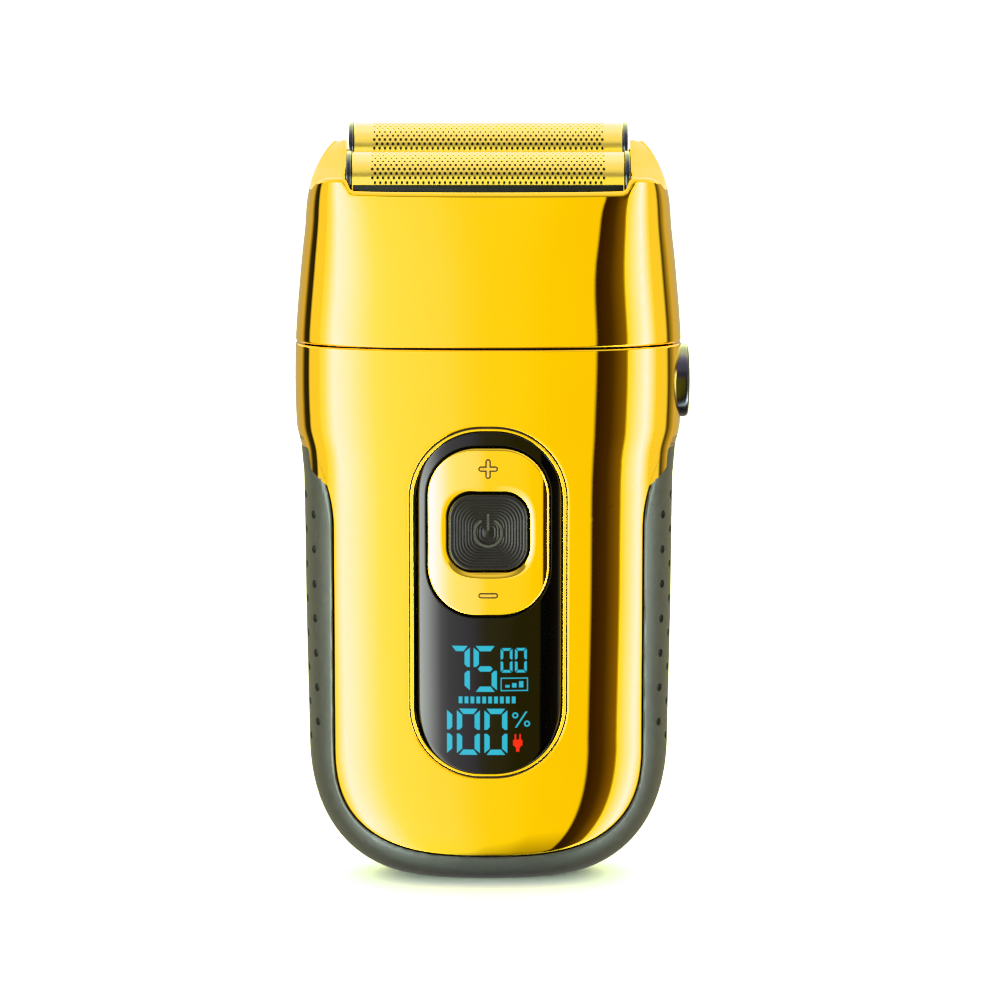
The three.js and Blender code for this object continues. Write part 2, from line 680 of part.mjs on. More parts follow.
function chassisFrame() {
  const upright = box(
    [-chassis.half, chassis.half],
    [chassis.front, chassis.front + chassis.plate],
    [chassis.bottom, chassis.top],
  );
  const shelf = box(
    [-chassis.half, chassis.half],
    [chassis.front, 5.6],
    [chassis.bottom, chassis.bottom + chassis.shelf],
  );
  const bracket = box([-19, 19], [chassis.front, 9.4], [chassis.bracket, chassis.top]);
  const pillars = [-pillar.x, pillar.x].map((x) =>
    rod("z", pillar.radius, [chassis.bracket, pillar.top], [x, 0, 0], 12).subtract(
      rod("z", 1.1, [pillar.top - 7, pillar.top + 1], [x, 0, 0], 10),
    ),
  );
  const shaftHole = rod("z", 2.6, [chassis.bracket - 1, chassis.top + 1], [0, motor.y, 0], 14);
  const through = [chassis.bracket - 1, chassis.top + 1];
  const screwHole = (x) => rod("z", screwSize.bore, through, [x, motor.y, 0], 10);
  return wasm.Manifold.union([upright, shelf, bracket, ...pillars])
    .subtract(shaftHole)
    .subtract(screwHole(-motorScrew.x))
    .subtract(screwHole(motorScrew.x));
}

// A pan-head screw that points along -Z, its head's underside at the origin, with a slot.
function screw(length, headRadius = screwSize.head) {
  return rod("z", screwSize.radius, [-length, 0.4], [0, 0, 0], 10)
    .add(rod("z", headRadius, [0.05, screwSize.headHeight], [0, 0, 0], 12))
    .subtract(box([-headRadius, headRadius], [-0.25, 0.25], [screwSize.headHeight - 0.5, 2]));
}

function screws() {
  const sides = [
    ["left", -1],
    ["right", 1],
  ];
  const deckScrews = sides.map(([name, side]) => {
    const place = [side * pillar.x, 0, SEAM + screwSize.lift];
    return piece(`deck_screw_${name}`, screw(deckScrewLength), STEEL, place);
  });
  const motorScrews = sides.map(([name, side]) => {
    const place = [side * motorScrew.x, motor.y, chassis.top + screwSize.lift];
    return piece(`motor_screw_${name}`, screw(motorScrew.length, motorScrew.head), STEEL, place);
  });
  const corners = CASE_SCREWS.flatMap(({ x, z }) => [
    [-x, z],
    [x, z],
  ]);
  const caseScrews = corners.map(([x, z], i) => {
    const made = piece(`case_screw_${i + 1}`, screw(caseScrew.length), STEEL, [x, caseScrew.seat, z]);
    made.rotation.x = -Math.PI / 2;
    return made;
  });
  return [...deckScrews, ...motorScrews, ...caseScrews];
}

function electronics() {
  const pack = alongZ(
    roundedRectangle(cell.half, cell.front, cell.back, cell.corner),
    [chassis.bottom + chassis.shelf + FIT, motor.bottom - motor.cap - 2 * FIT - 0.6],
    3,
  );
  const main = box([-board.half, board.half], [board.front, board.back], [board.bottom, board.top]);
  const face = board.front - 0.2;
  const display = box(
    [-displayBlock.half, displayBlock.half],
    [face - displayBlock.depth, face],
    [displayBlock.bottom, displayBlock.top],
  );
  const keySwitch = (z) =>
    box([-keySize.half, keySize.half], [face - keySize.depth, face], [z - keySize.half, z + keySize.half]);
  return [
    piece("battery_pack", pack, CELL),
    piece("main_board", main, CIRCUIT),
    piece("display_module", display, BLACK_PLASTIC),
    piece("power_switch", keySwitch(controls.z), STEEL),
    piece("speed_up_switch", keySwitch(controls.z + controls.switchReach), STEEL),
    piece("speed_down_switch", keySwitch(controls.z - controls.switchReach), STEEL),
  ];
}

function chargingPort() {
  const tube = (half, depth, heights) => {
    return alongZ(roundedRectangle(half, -depth, depth, depth - 0.1), heights, 4);
  };
  const shell = tube(socket.half, socket.depth, [socket.bottom, socket.top]).subtract(
    tube(socket.half - socket.shell, socket.depth - socket.shell, [socket.bottom - 1, socket.top - 0.6]),
  );
  const tongue = box([-3.3, 3.3], [-0.35, 0.35], [socket.bottom + 1.2, socket.top - 0.8]);
  const carrierBoard = box([-8, 8], [-5, 5], [socket.top + FIT, socket.top + FIT + 1.2]);
  return group(
    [0, socket.y, 0],
    piece("charging_socket", shell, STEEL),
    piece("socket_tongue", tongue, BLACK_PLASTIC),
    piece("charge_board", carrierBoard, CIRCUIT),
  );
}

// ---------------------------------------------------------------- window and controls

// A slice of the skin between two depths, inside a front-view outline.
function skinSlice(outline, outside, inside) {
  return bodyCore(outside)
    .subtract(bodyCore(inside))
    .intersect(alongY(outline, [-REACH, -8]));
}

function rockerOutline(grow) {
  return roundedRectangle(
    rocker.half + grow,
    controls.z - rocker.rise - grow,
    controls.z + rocker.rise + grow,
    rocker.corner + grow,
  );
}

function buttonOutline(grow) {
  return roundedRectangle(
    button.half + grow,
    controls.z - button.rise - grow,
    controls.z + button.rise + grow,
    button.corner + grow,
  );
}

function windowPieces() {
  const rockerHole = alongY(rockerOutline(controls.clearance), [-REACH, 0]);
  const pane = skinSlice(paneOutline(0), 0, windowPane.thickness).subtract(rockerHole);
  const bezel = skinSlice(paneOutline(bezelLine.outer), 0, windowPane.thickness).subtract(
    alongY(paneOutline(bezelLine.inner), [-REACH, 0]),
  );
  return [piece("display_window", pane, BLACK_GLASS), piece("window_bezel", bezel, GOLD)];
}

// The plate behind the window: it guides the button's stem and the rocker's plungers, and
// carries the rocker's two stub axles in notched towers.
function controlFrame() {
  const { z, pivotY, switchReach, stub } = controls;
  const between = box([-guide.towerIn, guide.towerIn], [-REACH, REACH], [z - 3, z + 3]);
  const towers = box(
    [-guide.towerOut, guide.towerOut],
    [pivotY - 0.3, guide.back],
    [z - 2, z + 2],
  ).subtract(between);
  const room = stub + FIT;
  const notches = box([-guide.half, guide.half], [-REACH, pivotY + room], [z - room, z + room]).subtract(
    box([-guide.towerIn + 0.1, guide.towerIn - 0.1], [-REACH, REACH], [z - 1, z + 1]),
  );
  const plungerHole = (height) => rod("y", controls.plunger + 0.5, [-REACH, 0], [0, 0, height], 12);
  return box([-guide.half, guide.half], [guide.front, guide.back], [z - guide.down, z + guide.up])
    .add(towers)
    .subtract(rod("y", button.stem + 0.5, [-REACH, 0], [0, 0, z], 14))
    .subtract(plungerHole(z + switchReach))
    .subtract(plungerHole(z - switchReach))
    .subtract(notches);
}

function speedRocker() {
  const { z, pivotY, switchReach } = controls;
  const root = rocker.back - 0.2;
  const plate = alongY(rockerOutline(0), [rocker.front, rocker.back], 8);
  const hole = alongY(buttonOutline(0.4), [-REACH, 0]);
  const lug = box([rocker.lugIn, rocker.lugOut], [root, pivotY + 0.35], [z - 1.2, z + 1.2]).add(
    rod("x", controls.stub, [rocker.lugOut - 0.2, guide.towerOut - 0.2], [0, pivotY, z], 10),
  );
  const plunger = (height) => rod("y", controls.plunger, [root, guide.front + 0.15], [0, 0, height], 12);
  return plate
    .subtract(hole)
    .add(lug)
    .add(lug.mirror([1, 0, 0]))
    .add(plunger(z + switchReach))
    .add(plunger(z - switchReach));
}

function powerButton() {
  return alongY(buttonOutline(0), [button.front, button.back], 6).add(
    rod("y", button.stem, [button.back - 0.5, button.stemEnd], [0, 0, controls.z], 14),
  );
}

// The round button in the right side and, behind its flange, the latch that reaches up into
// the head, in a group at the button's height.
function releasePieces() {
  const knob = rod("x", release.radius, [release.capIn, release.outer - 0.5], [0, 0, 0], 20)
    .add(rod("x", release.radius - 0.7, [release.outer - 0.6, release.outer], [0, 0, 0], 20))
    .add(rod("x", release.stem, [release.flangeIn + 0.5, release.capIn + 0.5], [0, 0, 0], 14))
    .add(box([release.flangeIn, release.flangeIn + 1], [-6.9, 6.9], [-6.4, 4.4]));
  const across = [-latch.half, latch.half];
  const hooked = box([latch.inner, latch.outer], across, [latch.bottom, latch.top]).add(
    box([latch.inner, latch.hook], across, [latch.hookFrom, latch.top]),
  );
  const spring = coil(1.9, 0.3, 4.8, 4)
    .rotate([0, 90, 0])
    .translate([pillar.x + pillar.radius + 0.2, 0, 0]);
  return group(
    [0, 0, release.z],
    piece("release_button", knob, GUNMETAL),
    piece("release_latch", hooked, BLACK_PLASTIC),
    piece("release_spring", spring, STEEL),
  );
}

// ---------------------------------------------------------------- the assembly

const shaver = new THREE.Group();
shaver.add(
  ...housings(),
  ...head(),
  ...FOIL_PLACES.flatMap(foilUnit),
  ...FOIL_PLACES.flatMap(cutter),
  ...drive(),
  motorPieces(),
  piece("drive_deck", driveDeck(), BLACK_PLASTIC),
  piece("hair_seal", hairSeal(), RUBBER),
  piece("chassis", chassisFrame(), BLACK_PLASTIC),
  ...screws(),
  ...electronics(),
  chargingPort(),
  ...windowPieces(),
  piece("control_frame", controlFrame(), BLACK_PLASTIC),
  piece("speed_rocker", speedRocker(), GOLD),
  piece("power_button", powerButton(), BLACK_PLASTIC),
  releasePieces(),
);

export default shaver;
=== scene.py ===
import math

import bmesh
import bpy
from mathutils import Matrix, Vector


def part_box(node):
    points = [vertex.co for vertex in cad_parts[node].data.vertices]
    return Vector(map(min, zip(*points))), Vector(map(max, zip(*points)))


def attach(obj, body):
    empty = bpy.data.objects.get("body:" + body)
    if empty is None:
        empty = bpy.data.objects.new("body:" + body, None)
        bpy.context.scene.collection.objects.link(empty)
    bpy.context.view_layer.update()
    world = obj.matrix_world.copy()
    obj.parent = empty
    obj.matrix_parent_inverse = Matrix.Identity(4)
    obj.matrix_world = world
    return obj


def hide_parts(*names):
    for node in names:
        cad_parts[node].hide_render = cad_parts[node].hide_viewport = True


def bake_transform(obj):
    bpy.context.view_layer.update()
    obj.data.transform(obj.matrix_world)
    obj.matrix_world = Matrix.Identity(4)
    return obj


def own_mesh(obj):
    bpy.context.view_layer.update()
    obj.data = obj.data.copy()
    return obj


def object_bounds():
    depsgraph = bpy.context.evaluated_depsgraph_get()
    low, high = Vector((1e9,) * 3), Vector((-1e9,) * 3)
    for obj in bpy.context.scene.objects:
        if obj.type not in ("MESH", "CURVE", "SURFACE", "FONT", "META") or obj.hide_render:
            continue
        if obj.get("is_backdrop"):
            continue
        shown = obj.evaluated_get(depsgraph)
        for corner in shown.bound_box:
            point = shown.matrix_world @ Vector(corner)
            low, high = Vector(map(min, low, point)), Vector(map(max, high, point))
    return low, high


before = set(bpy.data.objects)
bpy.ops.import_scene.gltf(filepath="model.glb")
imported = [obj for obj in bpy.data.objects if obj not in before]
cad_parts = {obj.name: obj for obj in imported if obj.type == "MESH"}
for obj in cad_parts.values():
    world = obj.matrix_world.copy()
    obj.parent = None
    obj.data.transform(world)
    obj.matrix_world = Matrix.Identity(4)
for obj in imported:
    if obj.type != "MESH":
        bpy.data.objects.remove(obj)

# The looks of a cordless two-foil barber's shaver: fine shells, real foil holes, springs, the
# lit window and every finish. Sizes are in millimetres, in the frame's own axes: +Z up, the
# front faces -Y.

CAD_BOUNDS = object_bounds()
MM = 0.001


def low(node):
    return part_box(node)[0] / MM


def high(node):
    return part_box(node)[1] / MM


# ---------------------------------------------------------------- driving dimensions

SEAM = (high("front_housing").z + low("head_shell").z) / 2
GAP = low("head_shell").z - high("front_housing").z
GRIP_TOP = 73.4
EDGE = 0.35  # radius of the rounded edges of the gold shells

# height, half width, depth in front, depth behind, power of the squared-off oval section
SKIN = [
    (24, 29.5, 14.9, 14.8, 2.7),
    (45, 29.9, 15.3, 14.6, 2.75),
    (64, 30.1, 15.4, 14.6, 2.75),
    (70.5, 30.35, 15.4, 14.9, 2.75),
    (75, 31.3, 15.4, 15.3, 2.65),
    (88, 31.4, 15.4, 15.6, 2.7),
    (100, 30.5, 15.2, 15.4, 2.75),
    (108, 29.6, 15, 14.8, 3.1),
]
FOOT = (0, 9, 5, 5, 2.4)
CROWN = (121.8, 21.5, 11, 10.5, 10)
FOOT_ROUNDNESS, CROWN_ROUNDNESS = 2.3, 2

PANEL = {"half": 25.2, "bottom": 4.8, "square_from": 24, "power": 2.8, "flare_from": 59, "flare_half": 29.9}
WINDOW = {"half": 11.8, "bottom": 19.6, "top": 74.9, "corner": 10.8}
ROCKER = {"half": 9.8, "rise": 13.6, "corner": 8, "z": 59}
BUTTON = {"half": 6.3, "rise": 6.1, "corner": 3.7}

# the head's rim: height at a few bearings, from the front (0) round to the back (180)
RIM = [
    (0, 113.35), (41, 113.35), (43, 115.5), (52, 115.4), (60, 114.6), (66, 113.6), (72, 114.3), (80, 115.4),
    (90, 116.6), (105, 118.6), (120, 120.8), (128, 120.6), (137, 118.2), (180, 118),
]
TRAY_CORNER = 42  # the skin's bearing that the tray's front corner stands behind
TRAY = (23.2, 12, 11.15, 40)  # half width, depth in front and behind, and power, as in SKIN
TRAY_DEPTH = 8
SHELL_WALL = 1.4
SLEEVE_WALL = 1.8
HEAD_WALL = 2.2

FOIL = {"half": 4.7, "leg": 0.6, "shoulder": 1.9, "rise": 4.4}
BLADE = {"half": 4.15, "bottom": 1, "rise": 3.85}
CAP_RISE = 4.6
CARRIER = {"inner": 4.85, "outer": 5.45, "bottom": -2, "rail_bottom": -1.2, "top": 1.3, "bar": 1}
KNOB = {"hole": 6.35, "above_keeper": 6.4, "stem": 3.6}
ROUNDING_ANGLES = (0, 18, 36, 54, 72, 90)
CIRCLE_STEPS = 24  # steps in each quarter of a large rounded corner


# ---------------------------------------------------------------- materials


def set_inputs(node, **values):
    for name, value in values.items():
        node.inputs[name.replace("_", " ")].default_value = value


def finish(name, color, roughness, metallic=0.0, vary=0.06, grain=500.0, bump=0.0, bump_size=3000.0,
           rough_vary=0.15, stretch=(1, 1, 1), **shader_values):
    """A procedural finish: colour and roughness drift with a soft noise, and a fine one bumps it."""
    made = bpy.data.materials.new(name)
    made.use_nodes = True
    nodes, links = made.node_tree.nodes, made.node_tree.links
    shader = nodes["Principled BSDF"]
    place = nodes.new("ShaderNodeTexCoord")
    scale = nodes.new("ShaderNodeMapping")
    scale.inputs["Scale"].default_value = stretch
    links.new(place.outputs["Object"], scale.inputs["Vector"])
    drift = nodes.new("ShaderNodeTexNoise")
    set_inputs(drift, Scale=grain, Detail=3.0)
    links.new(scale.outputs["Vector"], drift.inputs["Vector"])
    ramp = nodes.new("ShaderNodeValToRGB")
    ramp.color_ramp.elements[0].position = 0.3
    ramp.color_ramp.elements[1].position = 0.7
    ramp.color_ramp.elements[0].color = [c * (1 - vary) for c in color] + [1]
    ramp.color_ramp.elements[1].color = [min(1, c * (1 + vary)) for c in color] + [1]
    links.new(drift.outputs["Fac"], ramp.inputs["Fac"])
    links.new(ramp.outputs["Color"], shader.inputs["Base Color"])
    rough = nodes.new("ShaderNodeMapRange")
    rough.inputs["To Min"].default_value = roughness * (1 - rough_vary)
    rough.inputs["To Max"].default_value = roughness * (1 + rough_vary)
    links.new(drift.outputs["Fac"], rough.inputs["Value"])
    links.new(rough.outputs["Result"], shader.inputs["Roughness"])
    if bump:
        fine = nodes.new("ShaderNodeTexNoise")
        set_inputs(fine, Scale=bump_size, Detail=2.0)
        links.new(scale.outputs["Vector"], fine.inputs["Vector"])
        height = nodes.new("ShaderNodeBump")
        set_inputs(height, Strength=bump, Distance=0.0001)
        links.new(fine.outputs["Fac"], height.inputs["Height"])
        links.new(height.outputs["Normal"], shader.inputs["Normal"])
    set_inputs(shader, Metallic=metallic, **shader_values)
    return made


CLEAR_COAT = {"Coat_Weight": 0.3, "Coat_Roughness": 0.02}
DULL = {"Specular_IOR_Level": 0.15}
COOL = (1.0, 0.8, 1.0, 1.0)  # takes the surround's tint out of a black gloss
GOLD = finish("gold_plate", (1.0, 0.6, 0.002), 0.035, 1, 0.015, 60, rough_vary=0.3, **CLEAR_COAT)
ROCKER_GOLD = finish("rocker_gold", (1.0, 0.6, 0.0022), 0.06, 1, 0.015, 60, Coat_Weight=1.0,
                     Coat_Roughness=0.03)
GOLD_TRIM = finish("gold_trim", (0.98, 0.6, 0.01), 0.12, 1, 0.04, 200, **CLEAR_COAT)
FOIL_GOLD = finish("coated_foil", (1.0, 0.7, 0.11), 0.22, 1, 0.05, 700, stretch=(1, 6, 6))
RUBBER = finish("soft_rubber", (0.022, 0.0212, 0.0222), 0.36, 0, 0.12, 900, 0.35, 9000,
                Specular_IOR_Level=0.45, Specular_Tint=(0.9, 0.84, 1.0, 1.0))
# Painted shade: a darker, duller copy of the grip's rubber for the faces of the dimples, so their hollows
# read dark.
DIMPLE_PAINTED_SHADE = finish("rubber_dimple_painted_shade", (0.006, 0.005, 0.006), 0.6, 0, 0.12, 900, 0.2, 9000, **DULL)
WINDOW_BLACK = finish("smoked_window", (0.0003, 0.0003, 0.0004), 0.05, 0, 0.3, 80, Specular_IOR_Level=0.19,
                      Specular_Tint=COOL)
BUTTON_GREY = finish("button_grey", (0.004, 0.004, 0.0045), 0.3, 0, 0.15, 500, 0.1, 6000,
                     Specular_IOR_Level=0.22, Specular_Tint=COOL)
ICON_GREY = finish("icon_grey", (0.016, 0.013, 0.016), 0.4, 0, 0.1, 500)
GUNMETAL = finish("dark_nickel", (0.062, 0.056, 0.08), 0.2, 1, 0.08, 300, stretch=(6, 1, 1))
CAP_METAL = finish("dark_cap", (0.036, 0.034, 0.055), 0.22, 1, 0.1, 400, Coat_Weight=0.2)
BLACK_PLASTIC = finish("black_plastic", (0.004, 0.004, 0.0045), 0.42, 0, 0.2, 700, 0.15, 5000, **DULL)
NYLON = finish("white_nylon", (0.62, 0.61, 0.56), 0.45, 0, 0.04, 400, 0.1, 4000, Subsurface_Weight=0.1)
DARK_STEEL = finish("dark_blades", (0.03, 0.03, 0.032), 0.35, 1, 0.2, 900, 0.15, 6000, stretch=(1, 1, 8))
BLADE_STEEL = finish("ground_blades", (0.6, 0.61, 0.62), 0.25, 1, 0.08, 900, 0.15, 6000, stretch=(1, 1, 8))
SPRING_STEEL = finish("spring_steel", (0.55, 0.56, 0.58), 0.24, 1, 0.08, 900)
ZINC = finish("zinc_plate", (0.42, 0.43, 0.45), 0.32, 1, 0.12, 1200, 0.1, 5000)
MOTOR_CASE = finish("motor_case", (0.5, 0.51, 0.52), 0.34, 1, 0.08, 600, 0.1, 4000, stretch=(1, 1, 0.2))
CELL_WRAP = finish("cell_wrap", (0.03, 0.14, 0.45), 0.3, 0, 0.12, 300, 0.08, 1500, Coat_Weight=0.3)
CIRCUIT = finish("circuit_green", (0.008, 0.09, 0.03), 0.32, 0, 0.35, 1400, 0.2, 2500)
SEAL = finish("seal_rubber", (0.02, 0.02, 0.021), 0.6, 0, 0.2, 900, 0.3, 6000)
GROOVE = finish("engraved_gold", (0.6, 0.34, 0.05), 0.45, 1, 0.1, 900)
# Painted shade: the brown outline round the rocker's plus and minus stands in for the shade on the walls of
# an engraving.
PAINTED_GROOVE_SHADE = finish("painted_groove_shade", (0.045, 0.02, 0.003), 0.5, 0, 0.2, 900, **DULL)


def glow(name, color, strength):
    """A lit mark under the window's gloss."""
    made = finish(name, [c * 0.05 for c in color], 0.2, 0, 0.08, 1500, **DULL)
    shader = made.node_tree.nodes["Principled BSDF"]
    set_inputs(shader, Emission_Color=(*color, 1), Emission_Strength=strength)
    return made


CYAN = glow("display_cyan", (0.02, 0.48, 0.68), 0.85)
RED = glow("display_red", (0.95, 0.015, 0.005), 0.9)


# ---------------------------------------------------------------- making and placing pieces


def mesh_piece(name, points, faces, material, smooth=True):
    """A mesh object from points in millimetres, with doubled points merged and faces outward."""
    mesh = bpy.data.meshes.new(name)
    mesh.from_pydata([Vector(p) * MM for p in points], [], faces)
    work = bmesh.new()
    work.from_mesh(mesh)
    bmesh.ops.remove_doubles(work, verts=work.verts, dist=2e-6)
    bmesh.ops.recalc_face_normals(work, faces=work.faces)
    for face in work.faces:
        face.smooth = smooth
    work.to_mesh(mesh)
    work.free()
    mesh.materials.append(material)
    made = bpy.data.objects.new(name, mesh)
    bpy.context.scene.collection.objects.link(made)
    return made


def place(piece, body, slot, *replaced):
    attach(piece, body)
    if replaced:
        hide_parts(*replaced)
    return piece


def apply_modifiers(piece):
    bpy.context.view_layer.update()
    ready = piece.evaluated_get(bpy.context.evaluated_depsgraph_get())
    mesh = bpy.data.meshes.new_from_object(ready)
    piece.modifiers.clear()
    old = piece.data
    piece.data = mesh
    bpy.data.meshes.remove(old)
    return piece


def combine(piece, other, operation="DIFFERENCE", materials="INDEX"):
    """Cuts piece by other, or joins them, and throws other away.

    TRANSFER keeps other's material on the cut.
    """
    change = piece.modifiers.new("combine", "BOOLEAN")
    change.solver = "MANIFOLD"
    change.operation = operation
    change.material_mode = materials
    change.object = other
    apply_modifiers(piece)
    bpy.data.objects.remove(other)
    return piece


def sharpen(piece, degrees=35):
    piece.data.set_sharp_from_angle(angle=math.radians(degrees))
    return piece


def bevel(piece, width, segments=2, degrees=40):
    rounding = piece.modifiers.new("bevel", "BEVEL")
    rounding.width = width * MM
    rounding.segments = segments
    rounding.limit_method = "ANGLE"
    rounding.angle_limit = math.radians(degrees)
    rounding.harden_normals = False
    return apply_modifiers(piece)


def grid_faces(rows, columns, closed_rows=True, closed_columns=True):
    """Quads over a grid of points that is stored row after row, closed on itself where asked."""
    faces = []
    for i in range(rows if closed_rows else rows - 1):
        for j in range(columns if closed_columns else columns - 1):
            a, b = i * columns, ((i + 1) % rows) * columns
            k = (j + 1) % columns
            faces.append((a + j, a + k, b + k, b + j))
    return faces


def end_faces(rows, columns):
    """The first and the last row of a grid of points, each as one face."""
    last = (rows - 1) * columns
    return [tuple(range(columns)), tuple(range(last, last + columns))]


def slab_faces(count, start=0):
    """The two ends and the sides of an outline of count points that is stored twice, from start."""
    ends = [tuple(range(start, start + count)), tuple(range(start + count, start + 2 * count))]
    sides = []
    for j in range(count):
        a, b = start + j, start + (j + 1) % count
        sides.append((a, b, count + b, count + a))
    return ends + sides


def prism(name, outline, span, axis, material):
    """An outline of (u, v) pushed along an axis: u and v are the other two axes in order."""
    points = []
    for depth in span:
        for u, v in outline:
            points.append({"x": (depth, u, v), "y": (u, depth, v), "z": (u, v, depth)}[axis])
    return mesh_piece(name, points, slab_faces(len(outline)), material, smooth=False)


def turned(name, profile, axis, centre, material, sides=64):
    """A closed shape of revolution from (radius, distance along the axis) points."""
    points = []
    for radius, along in profile:
        for j in range(sides):
            angle = 2 * math.pi * j / sides
            c, s = radius * math.cos(angle), radius * math.sin(angle)
            offset = {"x": (along, c, s), "y": (c, along, s), "z": (c, s, along)}[axis]
            points.append(Vector(centre) + Vector(offset))
    faces = grid_faces(len(profile), sides, closed_rows=False) + end_faces(len(profile), sides)
    return mesh_piece(name, points, faces, material)


def coil(name, centre, axis, radius, wire, height, turns, material, steps=20, sides=8):
    """A round wire wound along an axis, from one end of its height to the other."""
    along = {"x": Vector((1, 0, 0)), "z": Vector((0, 0, 1))}[axis]
    across = Vector((0, 1, 0))
    third = along.cross(across)
    points = []
    count = turns * steps + 1
    for i in range(count):
        angle = 2 * math.pi * i / steps
        out = across * math.cos(angle) + third * math.sin(angle)
        middle = Vector(centre) + out * radius + along * (wire + (height - 2 * wire) * i / (count - 1))
        for j in range(sides):
            turn = 2 * math.pi * j / sides
            points.append(middle + out * wire * math.cos(turn) + along * wire * math.sin(turn))
    faces = grid_faces(count, sides, closed_rows=False) + end_faces(count, sides)
    return mesh_piece(name, points, faces, material)


# ---------------------------------------------------------------- outlines


def arc(centre, radius, start, end, steps):
    """Points on a round or oval arc, its angles in degrees."""
    across, up = radius if isinstance(radius, tuple) else (radius, radius)
    angles = [math.radians(start + (end - start) * i / steps) for i in range(steps + 1)]
    return [(centre[0] + across * math.cos(a), centre[1] + up * math.sin(a)) for a in angles]


def rounded_rectangle(half, bottom, top, corner, steps=12):
    """A closed outline from the right of the bottom edge, round through the right side."""
    return (
        arc((half - corner, bottom + corner), corner, -90, 0, steps)
        + arc((half - corner, top - corner), corner, 0, 90, steps)
        + arc((-half + corner, top - corner), corner, 90, 180, steps)
        + arc((-half + corner, bottom + corner), corner, 180, 270, steps)
    )


def spaced(points, count):
    """The same path as a number of evenly spaced points, without its last one."""
    lengths = [0.0]
    for a, b in zip(points, points[1:]):
        lengths.append(lengths[-1] + math.dist(a, b))
    out, k = [], 0
    for i in range(count):
        target = lengths[-1] * i / count
        while lengths[k + 1] < target:
            k += 1
        share = (target - lengths[k]) / max(1e-9, lengths[k + 1] - lengths[k])
        out.append(tuple(p + (q - p) * share for p, q in zip(points[k], points[k + 1])))
    return out


def ray_loop(outline, centre, count):
    """Points where evenly turned rays from a centre cross an outline, the first one straight down."""
    out = []
    for i in range(count):
        angle = 2 * math.pi * i / count
        ray = Vector((math.sin(angle), -math.cos(angle)))
        best = 0.0
        for a, b in zip(outline, outline[1:] + outline[:1]):
            start, side = Vector(a) - Vector(centre), Vector(b) - Vector(a)
            cross = ray.cross(side)
            if abs(cross) < 1e-9:
                continue
            reach, share = start.cross(side) / cross, start.cross(ray) / cross
            if -1e-6 <= share <= 1 + 1e-6:
                best = max(best, reach)
        out.append((centre[0] + ray.x * best, centre[1] + ray.y * best))
    return out


def mirrored_loop(right):
    """A closed loop from its right half, which runs from the bottom middle to the top middle."""
    return right + [(-x, z) for x, z in reversed(right[1:-1])]


# ---------------------------------------------------------------- the skin


def along_stations(z, key):
    """The value at z of a smooth curve through the stations."""
    last = len(SKIN) - 1
    i = max(0, min(last - 1, sum(s[0] < z for s in SKIN) - 1))

    def slope(k):
        before, after = SKIN[max(0, k - 1)], SKIN[min(last, k + 1)]
        return (after[key] - before[key]) / (after[0] - before[0])

    span = SKIN[i + 1][0] - SKIN[i][0]
    t = (z - SKIN[i][0]) / span
    u = 1 - t
    ends = SKIN[i][key] * (1 + 2 * t) * u * u + SKIN[i + 1][key] * (3 - 2 * t) * t * t
    return ends + span * (slope(i) * t * u * u - slope(i + 1) * t * t * u)


def skin_at(z):
    """Half width, depth in front and behind, and power of the skin's section at a height."""
    if SKIN[0][0] <= z <= SKIN[-1][0]:
        return [along_stations(z, key) for key in (1, 2, 3, 4)]
    if z < SKIN[0][0]:
        near, end, roundness = SKIN[0], FOOT, FOOT_ROUNDNESS
    else:
        near, end, roundness = SKIN[-1], CROWN, CROWN_ROUNDNESS
    share = max(0, min(1, (z - near[0]) / (end[0] - near[0])))
    rounded = (1 - share**roundness) ** (1 / roundness)
    return [end[key] + (near[key] - end[key]) * rounded for key in (1, 2, 3, 4)]


def oval_point(section, bearing, z):
    """A point at a bearing on a squared-off oval. Bearing 0 is the front and 90 the right side."""
    half, front, back, power = section
    s, c = math.sin(math.radians(bearing)), math.cos(math.radians(bearing))
    r = (abs(s) ** power + abs(c) ** power) ** (-1 / power)
    return Vector((half * r * s, (-front if c > 0 else -back) * r * c, z))


def skin_point(bearing, z, depth=0.0):
    """A point below the skin by a depth, measured square to it."""
    here = oval_point(skin_at(z), bearing, z)
    if depth == 0:
        return here
    turn, step = 0.05, 0.02
    side = oval_point(skin_at(z), bearing + turn, z) - oval_point(skin_at(z), bearing - turn, z)
    lower, upper = max(0.0, z - step), z + step
    rise = oval_point(skin_at(upper), bearing, upper) - oval_point(skin_at(lower), bearing, lower)
    return here - side.cross(rise).normalized() * depth


def bearing_at(x, z):
    """The bearing on the front at which the skin is x from the middle."""
    half, _, _, power = skin_at(z)
    share = min(0.999999, (abs(x) / half) ** power)
    return math.copysign(math.degrees(math.atan((share / (1 - share)) ** (1 / power))), x)


